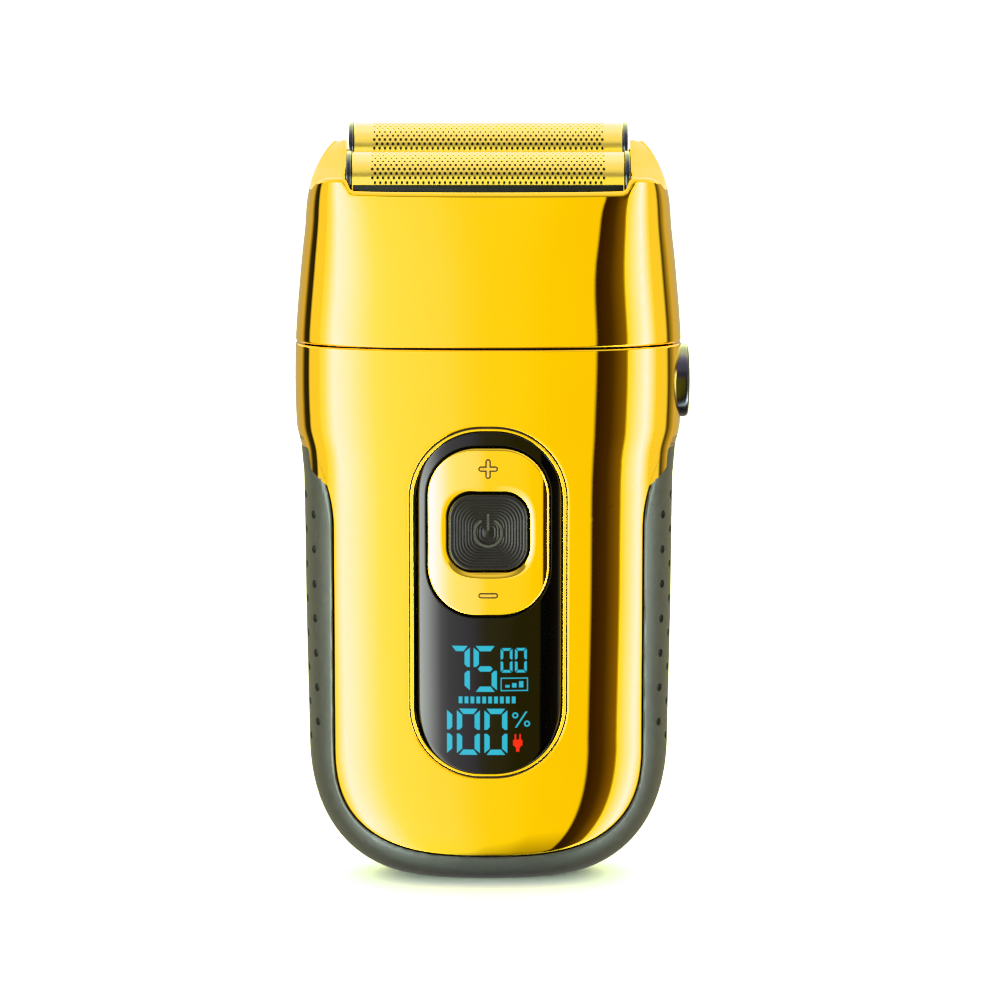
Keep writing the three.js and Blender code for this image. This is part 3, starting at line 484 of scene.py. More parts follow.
def shell_between(name, outer, inner, at, thickness, edges, material, rings=14, height=None):
    """A closed shell between two matched loops, with rounded edges along both.

    at(u, v, depth) places a point, edges are the two edge radii, and height(u, v), if given, adds
    a depth of its own to the top surface.
    """
    count = len(outer)
    spans = [(at(*outer[j], 0) - at(*inner[j], 0)).length for j in range(count)]

    def edge_rings(radius):
        rings_found = []
        for angle in ROUNDING_ANGLES:
            a = math.radians(angle)
            rings_found.append((radius * (1 - math.cos(a)), radius * (1 - math.sin(a))))
        return rings_found

    outside = [("outer", offset, drop) for offset, drop in edge_rings(edges[0])]
    inside = [("inner", offset, drop) for offset, drop in reversed(edge_rings(edges[1]))]
    middle = [("share", (i + 1) / (rings + 1), 0) for i in range(rings)]
    under = [("share", share, thickness) for share in (1, 0.66, 0.33, 0)]
    rows = outside + middle + inside + under
    points = []
    for kind, amount, drop in rows:
        for j in range(count):
            span = max(1e-6, spans[j])
            first, second = min(0.45, edges[0] / span), min(0.45, edges[1] / span)
            if kind == "outer":
                share = min(0.45, amount / span)
            elif kind == "inner":
                share = 1 - min(0.45, amount / span)
            elif drop:
                share = amount
            else:
                share = first + (1 - first - second) * amount
            u = outer[j][0] + (inner[j][0] - outer[j][0]) * share
            v = outer[j][1] + (inner[j][1] - outer[j][1]) * share
            extra = height(u, v) if height and drop < thickness else 0
            points.append(at(u, v, drop + extra))
    return mesh_piece(name, points, grid_faces(len(rows), count), material)


# ---------------------------------------------------------------- body shells


def panel_right(grow, counts):
    """Three stretches of the front panel's right edge, from the bottom middle to the flare's top."""
    half = PANEL["half"] + grow
    drop = PANEL["square_from"] - PANEL["bottom"] + grow
    steps = 60
    lower = []
    for i in range(steps + 1):
        a = math.radians(90 * i / steps)
        x = half * math.sin(a) ** (2 / PANEL["power"])
        z = PANEL["square_from"] - drop * max(0.0, math.cos(a)) ** (2 / PANEL["power"])
        lower.append((x, z))
    side = [(half, PANEL["square_from"]), (half, PANEL["flare_from"])]
    top, flare = GRIP_TOP - grow, PANEL["flare_half"] + grow
    foot = PANEL["flare_from"]
    ends = [(half, foot), (half, foot + 5.5), (half + 1.8, top - 4.8), (flare, top)]
    bend = []
    for i in range(41):
        t = i / 40
        weights = ((1 - t) ** 3, 3 * t * (1 - t) ** 2, 3 * t * t * (1 - t), t**3)
        bend.append(tuple(sum(w * p[k] for w, p in zip(weights, ends)) for k in (0, 1)))
    return [spaced(part, n) for part, n in zip((lower, side, bend), counts)] + [[bend[-1]]]


def gold_front():
    """The front housing: the panel round the window, and the collar's front half."""
    counts = (70, 40, 30, 10, 20, 80)
    bottom, side, flare, last = panel_right(-GAP / 2, counts[:3])
    edge = [(bearing_at(x, z), z) for x, z in bottom + side + flare]
    ledge = (bearing_at(*last[0]), GRIP_TOP + GAP / 2)
    top = SEAM - GAP / 2
    corner, upper = (89.7, GRIP_TOP + GAP / 2), (89.7, top)
    edge += spaced([ledge, corner], counts[3]) + spaced([corner, upper], counts[4])
    edge += spaced([upper, (0, top)], counts[5]) + [(0, top)]
    half, corner_radius = WINDOW["half"] + 1, WINDOW["corner"] + 1
    low_z, high_z = WINDOW["bottom"] - 1, WINDOW["top"] + 1
    lower = [(0, low_z)] + arc((half - corner_radius, low_z + corner_radius), corner_radius, -90, 0, 30)
    upper_arc = arc((half - corner_radius, high_z - corner_radius), corner_radius, 0, 90, 30) + [(0, high_z)]
    breaks = [low_z + corner_radius, 52, 58, 60, high_z - corner_radius]
    hole = spaced(lower, counts[0])
    for (a, b), n in zip(zip(breaks, breaks[1:]), counts[1:5]):
        hole += spaced([(half, a), (half, b)], n)
    hole += spaced(upper_arc, counts[5]) + [(0, high_z)]
    window = [(bearing_at(x, z), z) for x, z in hole]
    shell = shell_between("gold_front", mirrored_loop(edge), mirrored_loop(window), skin_point, SHELL_WALL,
                          (EDGE, 0.25), GOLD, rings=40)
    return cut_release_hole(shell)


def knob_height():
    """The height of the round side button's middle."""
    return low("release_button").z + KNOB["above_keeper"]


def cut_release_hole(shell):
    hole = turned("hole", [(KNOB["hole"], 20), (KNOB["hole"], 40)], "x", (0, 0, knob_height()), GOLD, 48)
    return sharpen(combine(shell, hole), 50)


def gold_rear():
    """The rear housing's collar, the only part of it that the grip leaves bare.

    Known fault: some of its edges lack two faces, and the button's hole isn't cut in it.
    """
    bottom, top = GRIP_TOP + GAP / 2, SEAM - GAP / 2
    start, end = 90.3, 269.7
    middle = (bottom + top) / 2
    lower = spaced([(start, bottom), (end, bottom)], 150)
    right = spaced([(end, bottom), (end, top)], 16)
    upper = spaced([(end, top), (start, top)], 150)
    left = spaced([(start, top), (start, bottom)], 16)
    outer = lower + right + upper + left
    inner = [(min(max(u, start + 12), end - 12), middle) for u, _ in outer]
    shell = shell_between("gold_rear", outer, inner, skin_point, SHELL_WALL, (EDGE, 0.005), GOLD, rings=12)
    return cut_release_hole(heal_line(shell, middle))


def heal_line(shell, height, reach=0.03):
    """Merges the two sides of the slit along a shell's level inner loop."""
    work = bmesh.new()
    work.from_mesh(shell.data)
    near = [v for v in work.verts if abs(v.co.z / MM - height) < reach]
    bmesh.ops.remove_doubles(work, verts=near, dist=reach * MM)
    inside = [face for face in work.faces if all(abs(v.co.z / MM - height) < reach for v in face.verts)]
    bmesh.ops.delete(work, geom=inside, context="FACES")
    bmesh.ops.recalc_face_normals(work, faces=work.faces)
    work.to_mesh(shell.data)
    work.free()
    return shell


def grip():
    """The rubber sleeve: fine skin, the panel cut out of it, its edges eased and its dimples sunk."""
    fine_side = [44 + 0.4 * i for i in range(41)]
    coarse = [1.5 * i for i in range(30)] + [61.5 + 1.6 * i for i in range(74)]
    right = sorted(fine_side + [b for b in coarse if b <= 180])
    bearings = right + [360 - b for b in reversed(right) if 0 < b < 180]
    top = GRIP_TOP - GAP / 2
    levels = [0.01 * 1.9**i for i in range(7)]
    levels += [0.9 + 0.45 * i for i in range(48)]
    levels += [23.4 + 1.4 * i for i in range(32)]
    levels += [top - d for d in (1.6, 0.9, 0.5, 0.25, 0.1, 0)]
    outer = [skin_point(b, z) for z in [0.0, *levels] for b in bearings]
    sleeve = closed_tube("grip_rubber", outer, len(bearings))
    core_levels = [SLEEVE_WALL, 3, 5, 8, 12, 17, 24, 35, 50, 64, top + 1]
    core_bearings = bearings[::3]
    core = []
    for z in core_levels:
        *reaches, power = skin_at(z)
        section = [reach - SLEEVE_WALL for reach in reaches] + [power]
        core += [oval_point(section, b, z) for b in core_bearings]
    combine(sleeve, closed_tube("core", core, len(core_bearings)))
    edge = [p for part in panel_right(GAP / 2, (60, 30, 24)) for p in part]
    outline = mirrored_loop(edge + [(40, edge[-1][1] + 0.5), (40, 90), (0, 90)])
    combine(sleeve, prism("panel", outline, (-40, 0), "y", RUBBER))
    ease_edges(sleeve, mirrored_loop(edge), top)
    cut_dimples(sleeve)
    socket = high("charging_socket").y
    port = rounded_rectangle(5.1, socket - 3.96, socket + 0.7, 2.2, 8)
    combine(sleeve, prism("port", port, (-1, 4), "z", RUBBER))
    return sharpen(sleeve, 40)


def closed_tube(name, points, count):
    """A rubber body from rings of count points, closed at both ends."""
    rows = len(points) // count
    faces = grid_faces(rows, count, closed_rows=False) + end_faces(rows, count)
    return mesh_piece(name, points, faces, RUBBER)


def distance_to(x, z, start, end):
    """How far (x, z) is from the straight line between two points."""
    (ax, az), (bx, bz) = start, end
    run, rise = bx - ax, bz - az
    length = math.hypot(run, rise) or 1
    along = max(0, min(length, ((x - ax) * run + (z - az) * rise) / length))
    return math.hypot(x - ax - run * along / length, z - az - rise * along / length)


def ease_edges(sleeve, outline, top, radius=0.2, near=3, on_skin=0.3):
    """Sinks the outer surface near the sleeve's edges, as a moulded edge is rounded."""
    stretches = list(zip(outline, outline[1:]))
    for vertex in sleeve.data.vertices:
        x, y, z = vertex.co / MM
        if z > 72 or z < 0.5:
            continue
        distance = top - z if abs(x) > 28 or y > 0 else radius
        if y < -1:
            for start, end in stretches:
                if abs(start[1] - z) <= near and abs(start[0] - x) <= near:
                    distance = min(distance, distance_to(x, z, start, end))
        if distance >= radius:
            continue
        section = skin_at(z)
        bearing = math.degrees(math.atan2(x / section[0], -y / (section[1] if y < 0 else section[2])))
        skin = oval_point(section, bearing, z)
        if (skin - Vector((x, y, z))).length > on_skin:
            continue
        drop = radius - math.sqrt(max(0.0, radius**2 - (radius - distance) ** 2))
        vertex.co = skin_point(bearing, z, drop) * MM


def cut_dimples(sleeve):
    """Two staggered columns of round dimples on each side, and rows of them across the back; their faces
    carry a darker, duller rubber as painted shade in the hollows.
    """
    pitch, radius, sink = 5.7, 0.7, 0.6
    spots = []
    for side in (-1, 1):
        spots += [(side * 62, 26.5 + pitch * i) for i in range(7)]
        spots += [(side * 73, 23.7 + pitch * i) for i in range(8)]
    for column in range(-4, 5):
        rows = 8 if column % 2 else 7
        spots += [(180 + 8 * column, 20 + (0 if column % 2 else pitch / 2) + pitch * i) for i in range(rows)]
    for bearing, z in spots:
        centre = skin_point(bearing, z, sink - radius)
        profile = [(radius * math.sin(math.radians(a)), radius * math.cos(math.radians(a)))
                   for a in (4, 30, 60, 90, 120, 150, 176)]
        combine(sleeve, turned("dimple", profile, "z", centre, DIMPLE_PAINTED_SHADE, 16), materials="TRANSFER")


# ---------------------------------------------------------------- head


def rim_at(bearing):
    turned_to = 360 - bearing if bearing > 180 else bearing
    for (start, below), (end, above) in zip(RIM, RIM[1:]):
        if turned_to <= end:
            share = (turned_to - start) / (end - start)
            return below + (above - below) * share
    return RIM[-1][1]


def tray_bearing(bearing):
    """The tray's own bearing behind a bearing of the skin, so that their front corners line up."""
    turned_to = 360 - bearing if bearing > 180 else bearing
    if turned_to < TRAY_CORNER:
        inner = turned_to * 45 / TRAY_CORNER
    elif turned_to < 90:
        inner = 45 + (turned_to - TRAY_CORNER) * 45 / (90 - TRAY_CORNER)
    else:
        inner = turned_to
    return 360 - inner if bearing > 180 else inner


def head():
    """One closed ring of profiles: up the skin, over the rim, down the tray and back down the inside."""
    bearings = [1.25 * i for i in range(288)]
    bottom = SEAM + GAP / 2
    rim_edge = 0.8

    def outside(bearing, share, drop):
        z = bottom + (rim_at(bearing) - rim_edge - bottom) * share
        return skin_point(bearing, z, drop)

    rows = []
    for angle in (0, 20, 40, 60, 80, 90):
        a = math.radians(angle)
        lift, drop = EDGE * (1 - math.cos(a)), EDGE * (1 - math.sin(a))
        rows.append([skin_point(b, bottom + lift, drop) for b in bearings])
    for share in (0.08, 0.16, 0.26, 0.36, 0.46, 0.56, 0.64, 0.72, 0.79, 0.85, 0.9, 0.94, 0.97, 1):
        rows.append([outside(b, share, 0) for b in bearings])
    for angle in (25, 50, 75, 90):
        a = math.radians(angle)
        drop, lift = rim_edge * (1 - math.cos(a)), Vector((0, 0, rim_edge * math.sin(a)))
        rows.append([skin_point(b, rim_at(b) - rim_edge, drop) + lift for b in bearings])
    for drop, share in ((0.05, 0.3), (0.3, 0.02), (TRAY_DEPTH / 2, 0), (TRAY_DEPTH, 0)):
        wall = [oval_point(TRAY, tray_bearing(b), rim_at(b) - drop) for b in bearings]
        rows.append([here.lerp(before, share) for here, before in zip(wall, rows[-1])])
    floor = TRAY_DEPTH + 1.5
    for share in (1, 0.5, 0):
        heights = [bottom + (rim_at(b) - floor - bottom) * share for b in bearings]
        rows.append([skin_point(b, z, HEAD_WALL) for b, z in zip(bearings, heights)])
    points = [p for row in rows for p in row]
    return sharpen(mesh_piece("head_gold", points, grid_faces(len(rows), len(bearings)), GOLD), 30)


# ---------------------------------------------------------------- foils, caps and cutters


def arch(half, bottom, shoulder, rise, steps=20):
    """An arch as (y, z) points: up one straight leg, over a half oval and down the other."""
    middle = (bottom + shoulder) / 2
    over = arc((0, shoulder), (half, rise), 0, 180, steps)
    return [(half, bottom), (half, middle)] + over + [(-half, middle), (-half, bottom)]


def foil_sheet(name, centre):
    """Perforated foil: brick-stacked six-sided cells round six-sided holes, bent over the arch."""
    path = spaced(arch(FOIL["half"], -FOIL["leg"], FOIL["shoulder"], FOIL["rise"], 60), 400)
    path.append((-FOIL["half"], -FOIL["leg"]))
    lengths = [0.0]
    for a, b in zip(path, path[1:]):
        lengths.append(lengths[-1] + math.dist(a, b))
    reach = high(name).x
    pitch, rows, thickness, solid = 0.86, 23, 0.06, 2.75
    hole = 0.28
    edge_strip = 1.15
    row_height = (lengths[-1] - 2 * edge_strip) / rows
    columns = int((reach - solid) * 2 / pitch)
    left = -columns * pitch / 2

    def on_arch(x, v, depth):
        k = min(len(path) - 2, max(0, int(v / lengths[-1] * (len(path) - 1))))
        (ay, az), (by, bz) = path[k], path[k + 1]
        share = (v - lengths[k]) / max(1e-9, lengths[k + 1] - lengths[k])
        along = Vector((0, by - ay, bz - az)).normalized()
        outward = Vector((0, along.z, -along.y))
        here = Vector((x, centre[0] + ay + (by - ay) * share, centre[1] + az + (bz - az) * share))
        return here - outward * depth

    points, faces, index = [], [], {}

    def corner(x, v, side):
        key = (round(x, 4), round(v, 4), side)
        if key not in index:
            index[key] = len(points)
            points.append(on_arch(x, v, thickness * side))
        return index[key]

    def sheet_face(flat):
        faces.append(tuple(corner(x, v, 0) for x, v in flat))
        faces.append(tuple(corner(x, v, 1) for x, v in reversed(flat)))

    def wall(a, b):
        faces.append((corner(*b, 0), corner(*a, 0), corner(*a, 1), corner(*b, 1)))

    for row in range(rows):
        v0 = edge_strip + row * row_height
        v1 = v0 + row_height
        shift = pitch / 2 if row % 2 else 0
        cells = columns - 1 if row % 2 else columns
        for i in range(cells):
            x0 = left + shift + i * pitch
            x1, xm, vm = x0 + pitch, x0 + pitch / 2, (v0 + v1) / 2
            around = [(x0, v0), (xm, v0), (x1, v0), (x1, v1), (xm, v1), (x0, v1)]
            ring = []
            for x, v in around:
                away = math.dist((x, v), (xm, vm))
                ring.append((xm + (x - xm) * hole / away, vm + (v - vm) * hole / away))
            for j in range(6):
                k = (j + 1) % 6
                sheet_face([around[j], around[k], ring[k], ring[j]])
                wall(ring[k], ring[j])
        if row % 2:
            for x0 in (left, left + columns * pitch - pitch / 2):
                sheet_face([(x0, v0), (x0 + pitch / 2, v0), (x0 + pitch / 2, v1), (x0, v1)])
        for x0, x1 in ((-reach, left), (left + columns * pitch, reach)):
            sheet_face([(x0, v0), (x1, v0), (x1, v1), (x0, v1)])
        wall((-reach, v1), (-reach, v0))
        wall((reach, v0), (reach, v1))
    half_steps = [-reach] + [left + pitch / 2 * i for i in range(2 * columns + 1)] + [reach]
    for v0, v1 in ((0, edge_strip), (lengths[-1] - edge_strip, lengths[-1])):
        for x0, x1 in zip(half_steps, half_steps[1:]):
            sheet_face([(x0, v0), (x1, v0), (x1, v1), (x0, v1)])
            if v0 == 0:
                wall((x0, v0), (x1, v0))
            else:
                wall((x1, v1), (x0, v1))
        wall((-reach, v1), (-reach, v0))
        wall((reach, v0), (reach, v1))
    return sharpen(mesh_piece(name + "_mesh", points, faces, FOIL_GOLD), 50)


def foil_unit(which):
    node = f"foil_{which}"
    centre = ((low(node).y + high(node).y) / 2, low(node).z + FOIL["leg"])
    body = f"{which}_foil_unit"
    place(foil_sheet(node, centre), body, "foil_sheet", node)
    for side in ("left", "right"):
        cap_node = f"{node}_cap_{side}"
        outline = moved(arch(FOIL["half"] + 0.2, CARRIER["bottom"], FOIL["shoulder"], CAP_RISE, 28), centre)
        cap = prism(cap_node + "_mesh", outline, (low(cap_node).x, high(cap_node).x), "x", CAP_METAL)
        place(sharpen(bevel(cap, 0.22, 3, 60), 70), body, "cap_gunmetal", cap_node)
    place(carrier(node, centre), body, "carrier_black", node + "_carrier")


def carrier(node, centre):
    """Two rails outside the foil's legs, joined by a bar at each end."""
    reach = high(node + "_carrier").x
    parts = []
    for side in (-1, 1):
        span = sorted((side * CARRIER["inner"], side * CARRIER["outer"]))
        rail = moved(box_outline(*span, CARRIER["rail_bottom"], CARRIER["top"]), centre)
        parts.append(prism("rail", rail, (-reach, reach), "x", BLACK_PLASTIC))
        end = sorted((side * reach, side * (reach - CARRIER["bar"])))
        outer = CARRIER["outer"]
        bar = box_outline(-outer, outer, CARRIER["bottom"], -FOIL["leg"] - 0.3)
        parts.append(prism("bar", moved(bar, centre), end, "x", BLACK_PLASTIC))
    made = parts[0]
    for part in (parts[1], parts[3], parts[2]):
        combine(made, part, "UNION")
    made.name = node + "_carrier_mesh"
    return sharpen(bevel(made, 0.1, 2), 40)


def box_outline(u0, u1, v0, v1):
    return [(u0, v0), (u1, v0), (u1, v1), (u0, v1)]


def moved(outline, by):
    return [(by[0] + u, by[1] + v) for u, v in outline]


def cutter(which):
    """A row of thin arched blades round a core, on a plastic base with a bore for its post."""
    blades, base = f"cutter_blades_{which}", f"cutter_base_{which}"
    body = f"{which}_cutter"
    y = (low(blades).y + high(blades).y) / 2
    z = low(blades).z - BLADE["bottom"]
    reach, pitch, thin = high(blades).x, 0.88, 0.32
    half, bottom, shoulder, rise = BLADE["half"], BLADE["bottom"], FOIL["shoulder"], BLADE["rise"]
    blade = moved(arch(half, bottom, shoulder, rise, 14), (y, z))
    core = moved(arch(half - 0.7, bottom + 0.1, shoulder - 0.2, rise - 0.75, 14), (y, z))
    gaps = int((2 * reach - thin) / pitch)
    slabs = []
    for i in range(gaps + 1):
        x0 = -reach + i * (2 * reach - thin) / gaps
        slabs.append((blade, x0, x0 + thin))
    slabs.append((core, -reach + 0.4, reach - 0.4))
    points, faces = [], []
    for outline, x0, x1 in slabs:
        faces += slab_faces(len(outline), len(points))
        points += [(x, a, b) for x in (x0, x1) for a, b in outline]
    row = mesh_piece(blades + "_mesh", points, faces, DARK_STEEL, smooth=False)
    place(row, body, "blade_steel", blades)
    a, b = low(base), high(base)
    made = prism("base", box_outline(a.y, b.y, z - 1.5, z + 0.8), (a.x, b.x), "x", BLACK_PLASTIC)
    boss, bore = 3.1, 1.8
    combine(made, turned("boss", [(boss, a.z), (boss, z - 1)], "z", (0, y, 0), BLACK_PLASTIC, 48), "UNION")
    combine(made, turned("bore", [(bore, a.z - 1), (bore, z - 0.6)], "z", (0, y, 0), BLACK_PLASTIC, 48))
    made.name = base + "_mesh"
    place(sharpen(bevel(made, 0.2, 2), 40), body, "carrier_black", base)


def drive_post(which):
    node, spring_node = f"drive_post_{which}", f"cutter_spring_{which}"
    y = (low(node).y + high(node).y) / 2
    bottom, top, shelf = low(node).z, high(node).z, low(spring_node).z - 0.2
    profile = [(2.5, bottom), (2.6, bottom + 0.1), (2.6, shelf - 0.15), (2.45, shelf), (1.6, shelf + 0.05),
               (1.6, top - 0.35), (1.25, top)]
    post = turned(node + "_mesh", profile, "z", (0, y, 0), BLADE_STEEL, 48)
    place(sharpen(post, 30), "oscillator", "shaft_steel", node)
    foot = low(spring_node).z
    height = high(spring_node).z - foot
    spring = coil(spring_node + "_mesh", (0, y, foot), "z", 2.35, 0.3, height, 5, SPRING_STEEL)
    place(spring, "oscillator", "spring_steel", spring_node)
    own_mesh(spring)


def foil_spring(which):
    """A wavy strip that the foil unit rests on."""
    node = f"foil_spring_{which}"
    a, b = low(node), high(node)
    waves, steps, thick = 3, 72, 0.22
    rise = b.z - a.z - thick
    line = []
    for i in range(steps + 1):
        x = a.x + (b.x - a.x) * i / steps
        line.append((x, a.z + rise * (1 - math.cos(2 * math.pi * waves * i / steps)) / 2))
    outline = line + [(x, z + thick) for x, z in reversed(line)]
    strip = prism(node + "_mesh", outline, (a.y, b.y), "y", SPRING_STEEL)
    place(sharpen(strip, 40), "head", "spring_steel", node)
    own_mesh(strip)


# ---------------------------------------------------------------- window, rocker and buttons


def on_front(x, z, depth):
    """A point in the window's face, below the skin by a depth."""
    return skin_point(bearing_at(x, z), z, depth)


def window_outline(grow):
    return rounded_rectangle(WINDOW["half"] + grow, WINDOW["bottom"] - grow, WINDOW["top"] + grow,
                             WINDOW["corner"] + grow, CIRCLE_STEPS)


def rocker_outline(grow, corner_grow=0.3):
    z, rise = ROCKER["z"], ROCKER["rise"] + grow
    return rounded_rectangle(ROCKER["half"] + grow, z - rise, z + rise, ROCKER["corner"] + corner_grow,
                             CIRCLE_STEPS)


def button_outline(grow, steps):
    z, rise = ROCKER["z"], BUTTON["rise"] + grow
    return rounded_rectangle(BUTTON["half"] + grow, z - rise, z + rise, BUTTON["corner"] + grow, steps)


def window():
    """The dark pane: a shallow pillow shape that falls away towards its sides."""
    lap = 0.2
    outlines = (window_outline(lap), rocker_outline(0.35))
    loops = [ray_loop(outline, (0, ROCKER["z"]), 360) for outline in outlines]
    pane = shell_between("window_pane", *loops, on_front, 1.9, (0.18, 0.12), WINDOW_BLACK, rings=30,
                         height=lambda x, z: pane_sink(x))
    place(pane, "body", "window_black", "display_window")


def pane_sink(x):
    """How far the pane lies below the skin: proud in the middle, and lower at the left than at the right."""
    fall, power = (1.75, 2.6) if x < 0 else (1.2, 3)
    return fall * (abs(x) / WINDOW["half"]) ** power - 0.5


def bezel():
    """The thin gold ring round the window, the dark line outside it and the pane's dark flange."""
    for name, outward, inward, depth, thickness, edge, slot, replaced in (
        ("bezel_ring", 0.72, 0.28, 0, 0.5, 0.16, "gold_trim", ["window_bezel"]),
        ("bezel_line", 0.97, 0.74, 0.15, 0.3, 0.03, "window_black", []),
        ("window_flange", 0.95, 0.24, 1.2, 0.5, 0.05, "window_black", []),
    ):
        loops = [spaced_loop(window_outline(grow), 240) for grow in (outward, inward)]

        def at(x, z, below, top=depth):
            return on_front(x, z, below + top)

        material = GOLD_TRIM if replaced else BLACK_PLASTIC
        made = shell_between(name, *loops, at, thickness, (edge, edge), material, rings=2)
        place(made, "body", slot, *replaced)


def spaced_loop(loop, count):
    return spaced(loop + [loop[0]], count)


def rocker():
    """The gold speed rocker: crowned, dished round the button, with a plus and minus that stand a little
    proud, each a tan fill in a brown outline of painted shade.
    """
    front = low("speed_rocker").y
    half, rise, z0 = ROCKER["half"], ROCKER["rise"], ROCKER["z"]
    outer, hole = (ray_loop(outline, (0, z0), 288)
                   for outline in (rocker_outline(0, 0), button_outline(0.35, CIRCLE_STEPS)))
    under = front + 2.1

    dish_reach, dish_slope, dish_depth, dish_power = 7.7, 1.3, 0.4, 3.2

    def at(x, z, depth):
        return Vector((x, front + depth, z))

    def height(x, z):
        fall, power = (1.87, 2.4) if x < 0 else (0.6, 6)
        crown = fall * (abs(x) / half) ** power + 0.5 * (abs(z - z0) / rise) ** 6
        away = (abs(x) ** dish_power + abs(z - z0) ** dish_power) ** (1 / dish_power)
        share = max(0.0, min(1.0, (dish_reach - away) / dish_slope))
        return crown + dish_depth * share * share * (3 - 2 * share)

    made = shell_between("rocker_gold", outer, hole, at, 2.2, (0.3, 0.2), ROCKER_GOLD, rings=40,
                         height=height)
    sharpen(made, 45)
    for side in (-1, 1):
        lug = sorted((side * 7.8, side * 9))
        stub = sorted((side * 8.8, side * 10.6))
        pivot = -12.7
        part = prism("lug", box_outline(*lug, z0 - 1.2, z0 + 1.2), (under, pivot + 0.35), "y", GOLD)
        axle = turned("stub", [(0.5, stub[0]), (0.5, stub[1])], "x", (0, pivot, z0), GOLD, 24)
        combine(part, axle, "UNION")
        combine(made, part, "UNION")
    for side in (-1, 1):
        profile = [(1.2, under), (1.2, high("speed_rocker").y)]
        combine(made, turned("plunger", profile, "y", (0, 0, z0 + 10 * side), GOLD, 24), "UNION")
    place(made, "rocker", "gold_rocker", "speed_rocker")
    # Each mark is a flat slab standing a little proud of the crown: a narrow tan fill over a wider brown
    # outline that is painted groove shade.
    for name, outline, side in (("plus", cross_outline, 1), ("minus", bar_outline, -1)):
        centre = (0, z0 + 10.25 * side)
        for ending, reach, width, proud, material in (("_edge", 1.64, 0.48, 0.01, PAINTED_GROOVE_SHADE),
                                                      ("", 1.36, 0.2, 0.04, GROOVE)):
            span = (front - proud, front + 0.6)
            mark = prism(f"rocker_{name}{ending}", outline(reach, width, centre), span, "y", material)
            place(mark, "rocker", "gold_rocker")


def bar_outline(reach, half, centre):
    """A level bar with rounded ends."""
    x, z = centre
    return arc((x + reach - half, z), half, -90, 90, 8) + arc((x - reach + half, z), half, 90, 270, 8)


def cross_outline(reach, half, centre):
    """A cross with rounded ends to its arms."""
    out = []
    for turn in range(4):
        start = 90 * turn
        spin = Matrix.Rotation(math.radians(start), 2)
        corner = spin @ Vector((-half, -half))
        tip = spin @ Vector((0, -reach + half))
        out.append((centre[0] + corner.x, centre[1] + corner.y))
        out += arc((centre[0] + tip.x, centre[1] + tip.y), half, 180 + start, 360 + start, 8)
    return out


def power_button():
    """The dark square button: square ridges round a ring-and-bar power mark, dished in the middle."""
    front, back = low("power_button").y, high("power_button").y
    z0 = ROCKER["z"]
    outline = spaced_loop(button_outline(0, 16), 160)
    rows = [(0, 1.9), (0, 0.5), (0.02, 0.3), (0.1, 0.12), (0.25, 0.02), (0.4, 0)]
    ridge, ridges = 0.46, 11
    for i in range(ridges):
        start = 0.5 + i * ridge
        rows += [(start + 0.06, 0.02), (start + 0.18, 0.09), (start + 0.3, 0.09), (start + 0.41, 0.02)]
    reach, dish_depth, dish_radius = BUTTON["half"], 0.25, 4.2
    points = []
    for offset, drop in rows:
        share = max(0.0, 1 - offset / reach)
        for x, z in outline:
            px, pz = x * share, z0 + (z - z0) * share
            sink = dish_depth * math.exp(-((math.hypot(px, pz - z0) / dish_radius) ** 2))
            points.append((px, front + drop + sink, pz))
    count = len(outline)
    faces = grid_faces(len(rows), count, closed_rows=False) + end_faces(len(rows), count)
    made = mesh_piece("power_button_mesh", points, faces, BUTTON_GREY)
    combine(made, turned("stem", [(2, front + 1.5), (2, back)], "y", (0, 0, z0), BUTTON_GREY, 32), "UNION")
    place(sharpen(made, 50), "power", "button_grey", "power_button")
    span = (front - 0.02, front + 0.6)
    half_line = 0.2
    mark = arc_strip("power_mark", (0, z0), 2.2, 2 * half_line, 118, 422, *span, 40)
    bar = prism("power_bar", box_outline(-half_line, half_line, z0 + 0.4, z0 + 3.1), span, "y", ICON_GREY)
    place(mark, "power", "button_grey")
    place(bar, "power", "button_grey")


def arc_strip(name, centre, radius, width, start, end, front, back, steps):
    outer = arc(centre, radius + width / 2, start, end, steps)
    inner = arc(centre, radius - width / 2, start, end, steps)
    return prism(name, outer + inner[::-1], (front, back), "y", ICON_GREY)


def release_button():
    """The round side button: a domed cap with a fine lip, its stem and its keeper plate."""
    a, b = low("release_button"), high("release_button")
    z = knob_height()
    # radius and distance in from the outer face
    cap = [(5.6, 4.2), (6, 4.1), (6, 0.85), (5.85, 0.45), (5.5, 0.22), (5.1, 0.16), (4.9, 0.3), (4.7, 0.3),
           (4.5, 0.12), (3.4, 0.03), (2, 0), (0.3, 0)]
    knob = turned("release_knob", [(r, b.x - inward) for r, inward in cap], "x", (0, 0, z), GUNMETAL, 72)
    stem_line = [(KNOB["stem"], a.x + 0.5), (KNOB["stem"], b.x - 4)]
    stem = turned("stem", stem_line, "x", (0, 0, z), GUNMETAL, 32)
    keeper = prism("keeper", box_outline(-6.9, 6.9, z - KNOB["above_keeper"], z + 4.4), (a.x, a.x + 1), "x",
                   GUNMETAL)
    combine(knob, stem, "UNION")
    combine(knob, keeper, "UNION")
    place(sharpen(knob, 35), "release", "gunmetal", "release_button")
    c, d = low("release_spring"), high("release_spring")
    length = d.x - c.x
    spring = coil("release_coil", (c.x, 0, z), "x", 1.9, 0.25, length, 5, SPRING_STEEL)
    place(spring, "body", "spring_steel", "release_spring")
    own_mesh(spring)


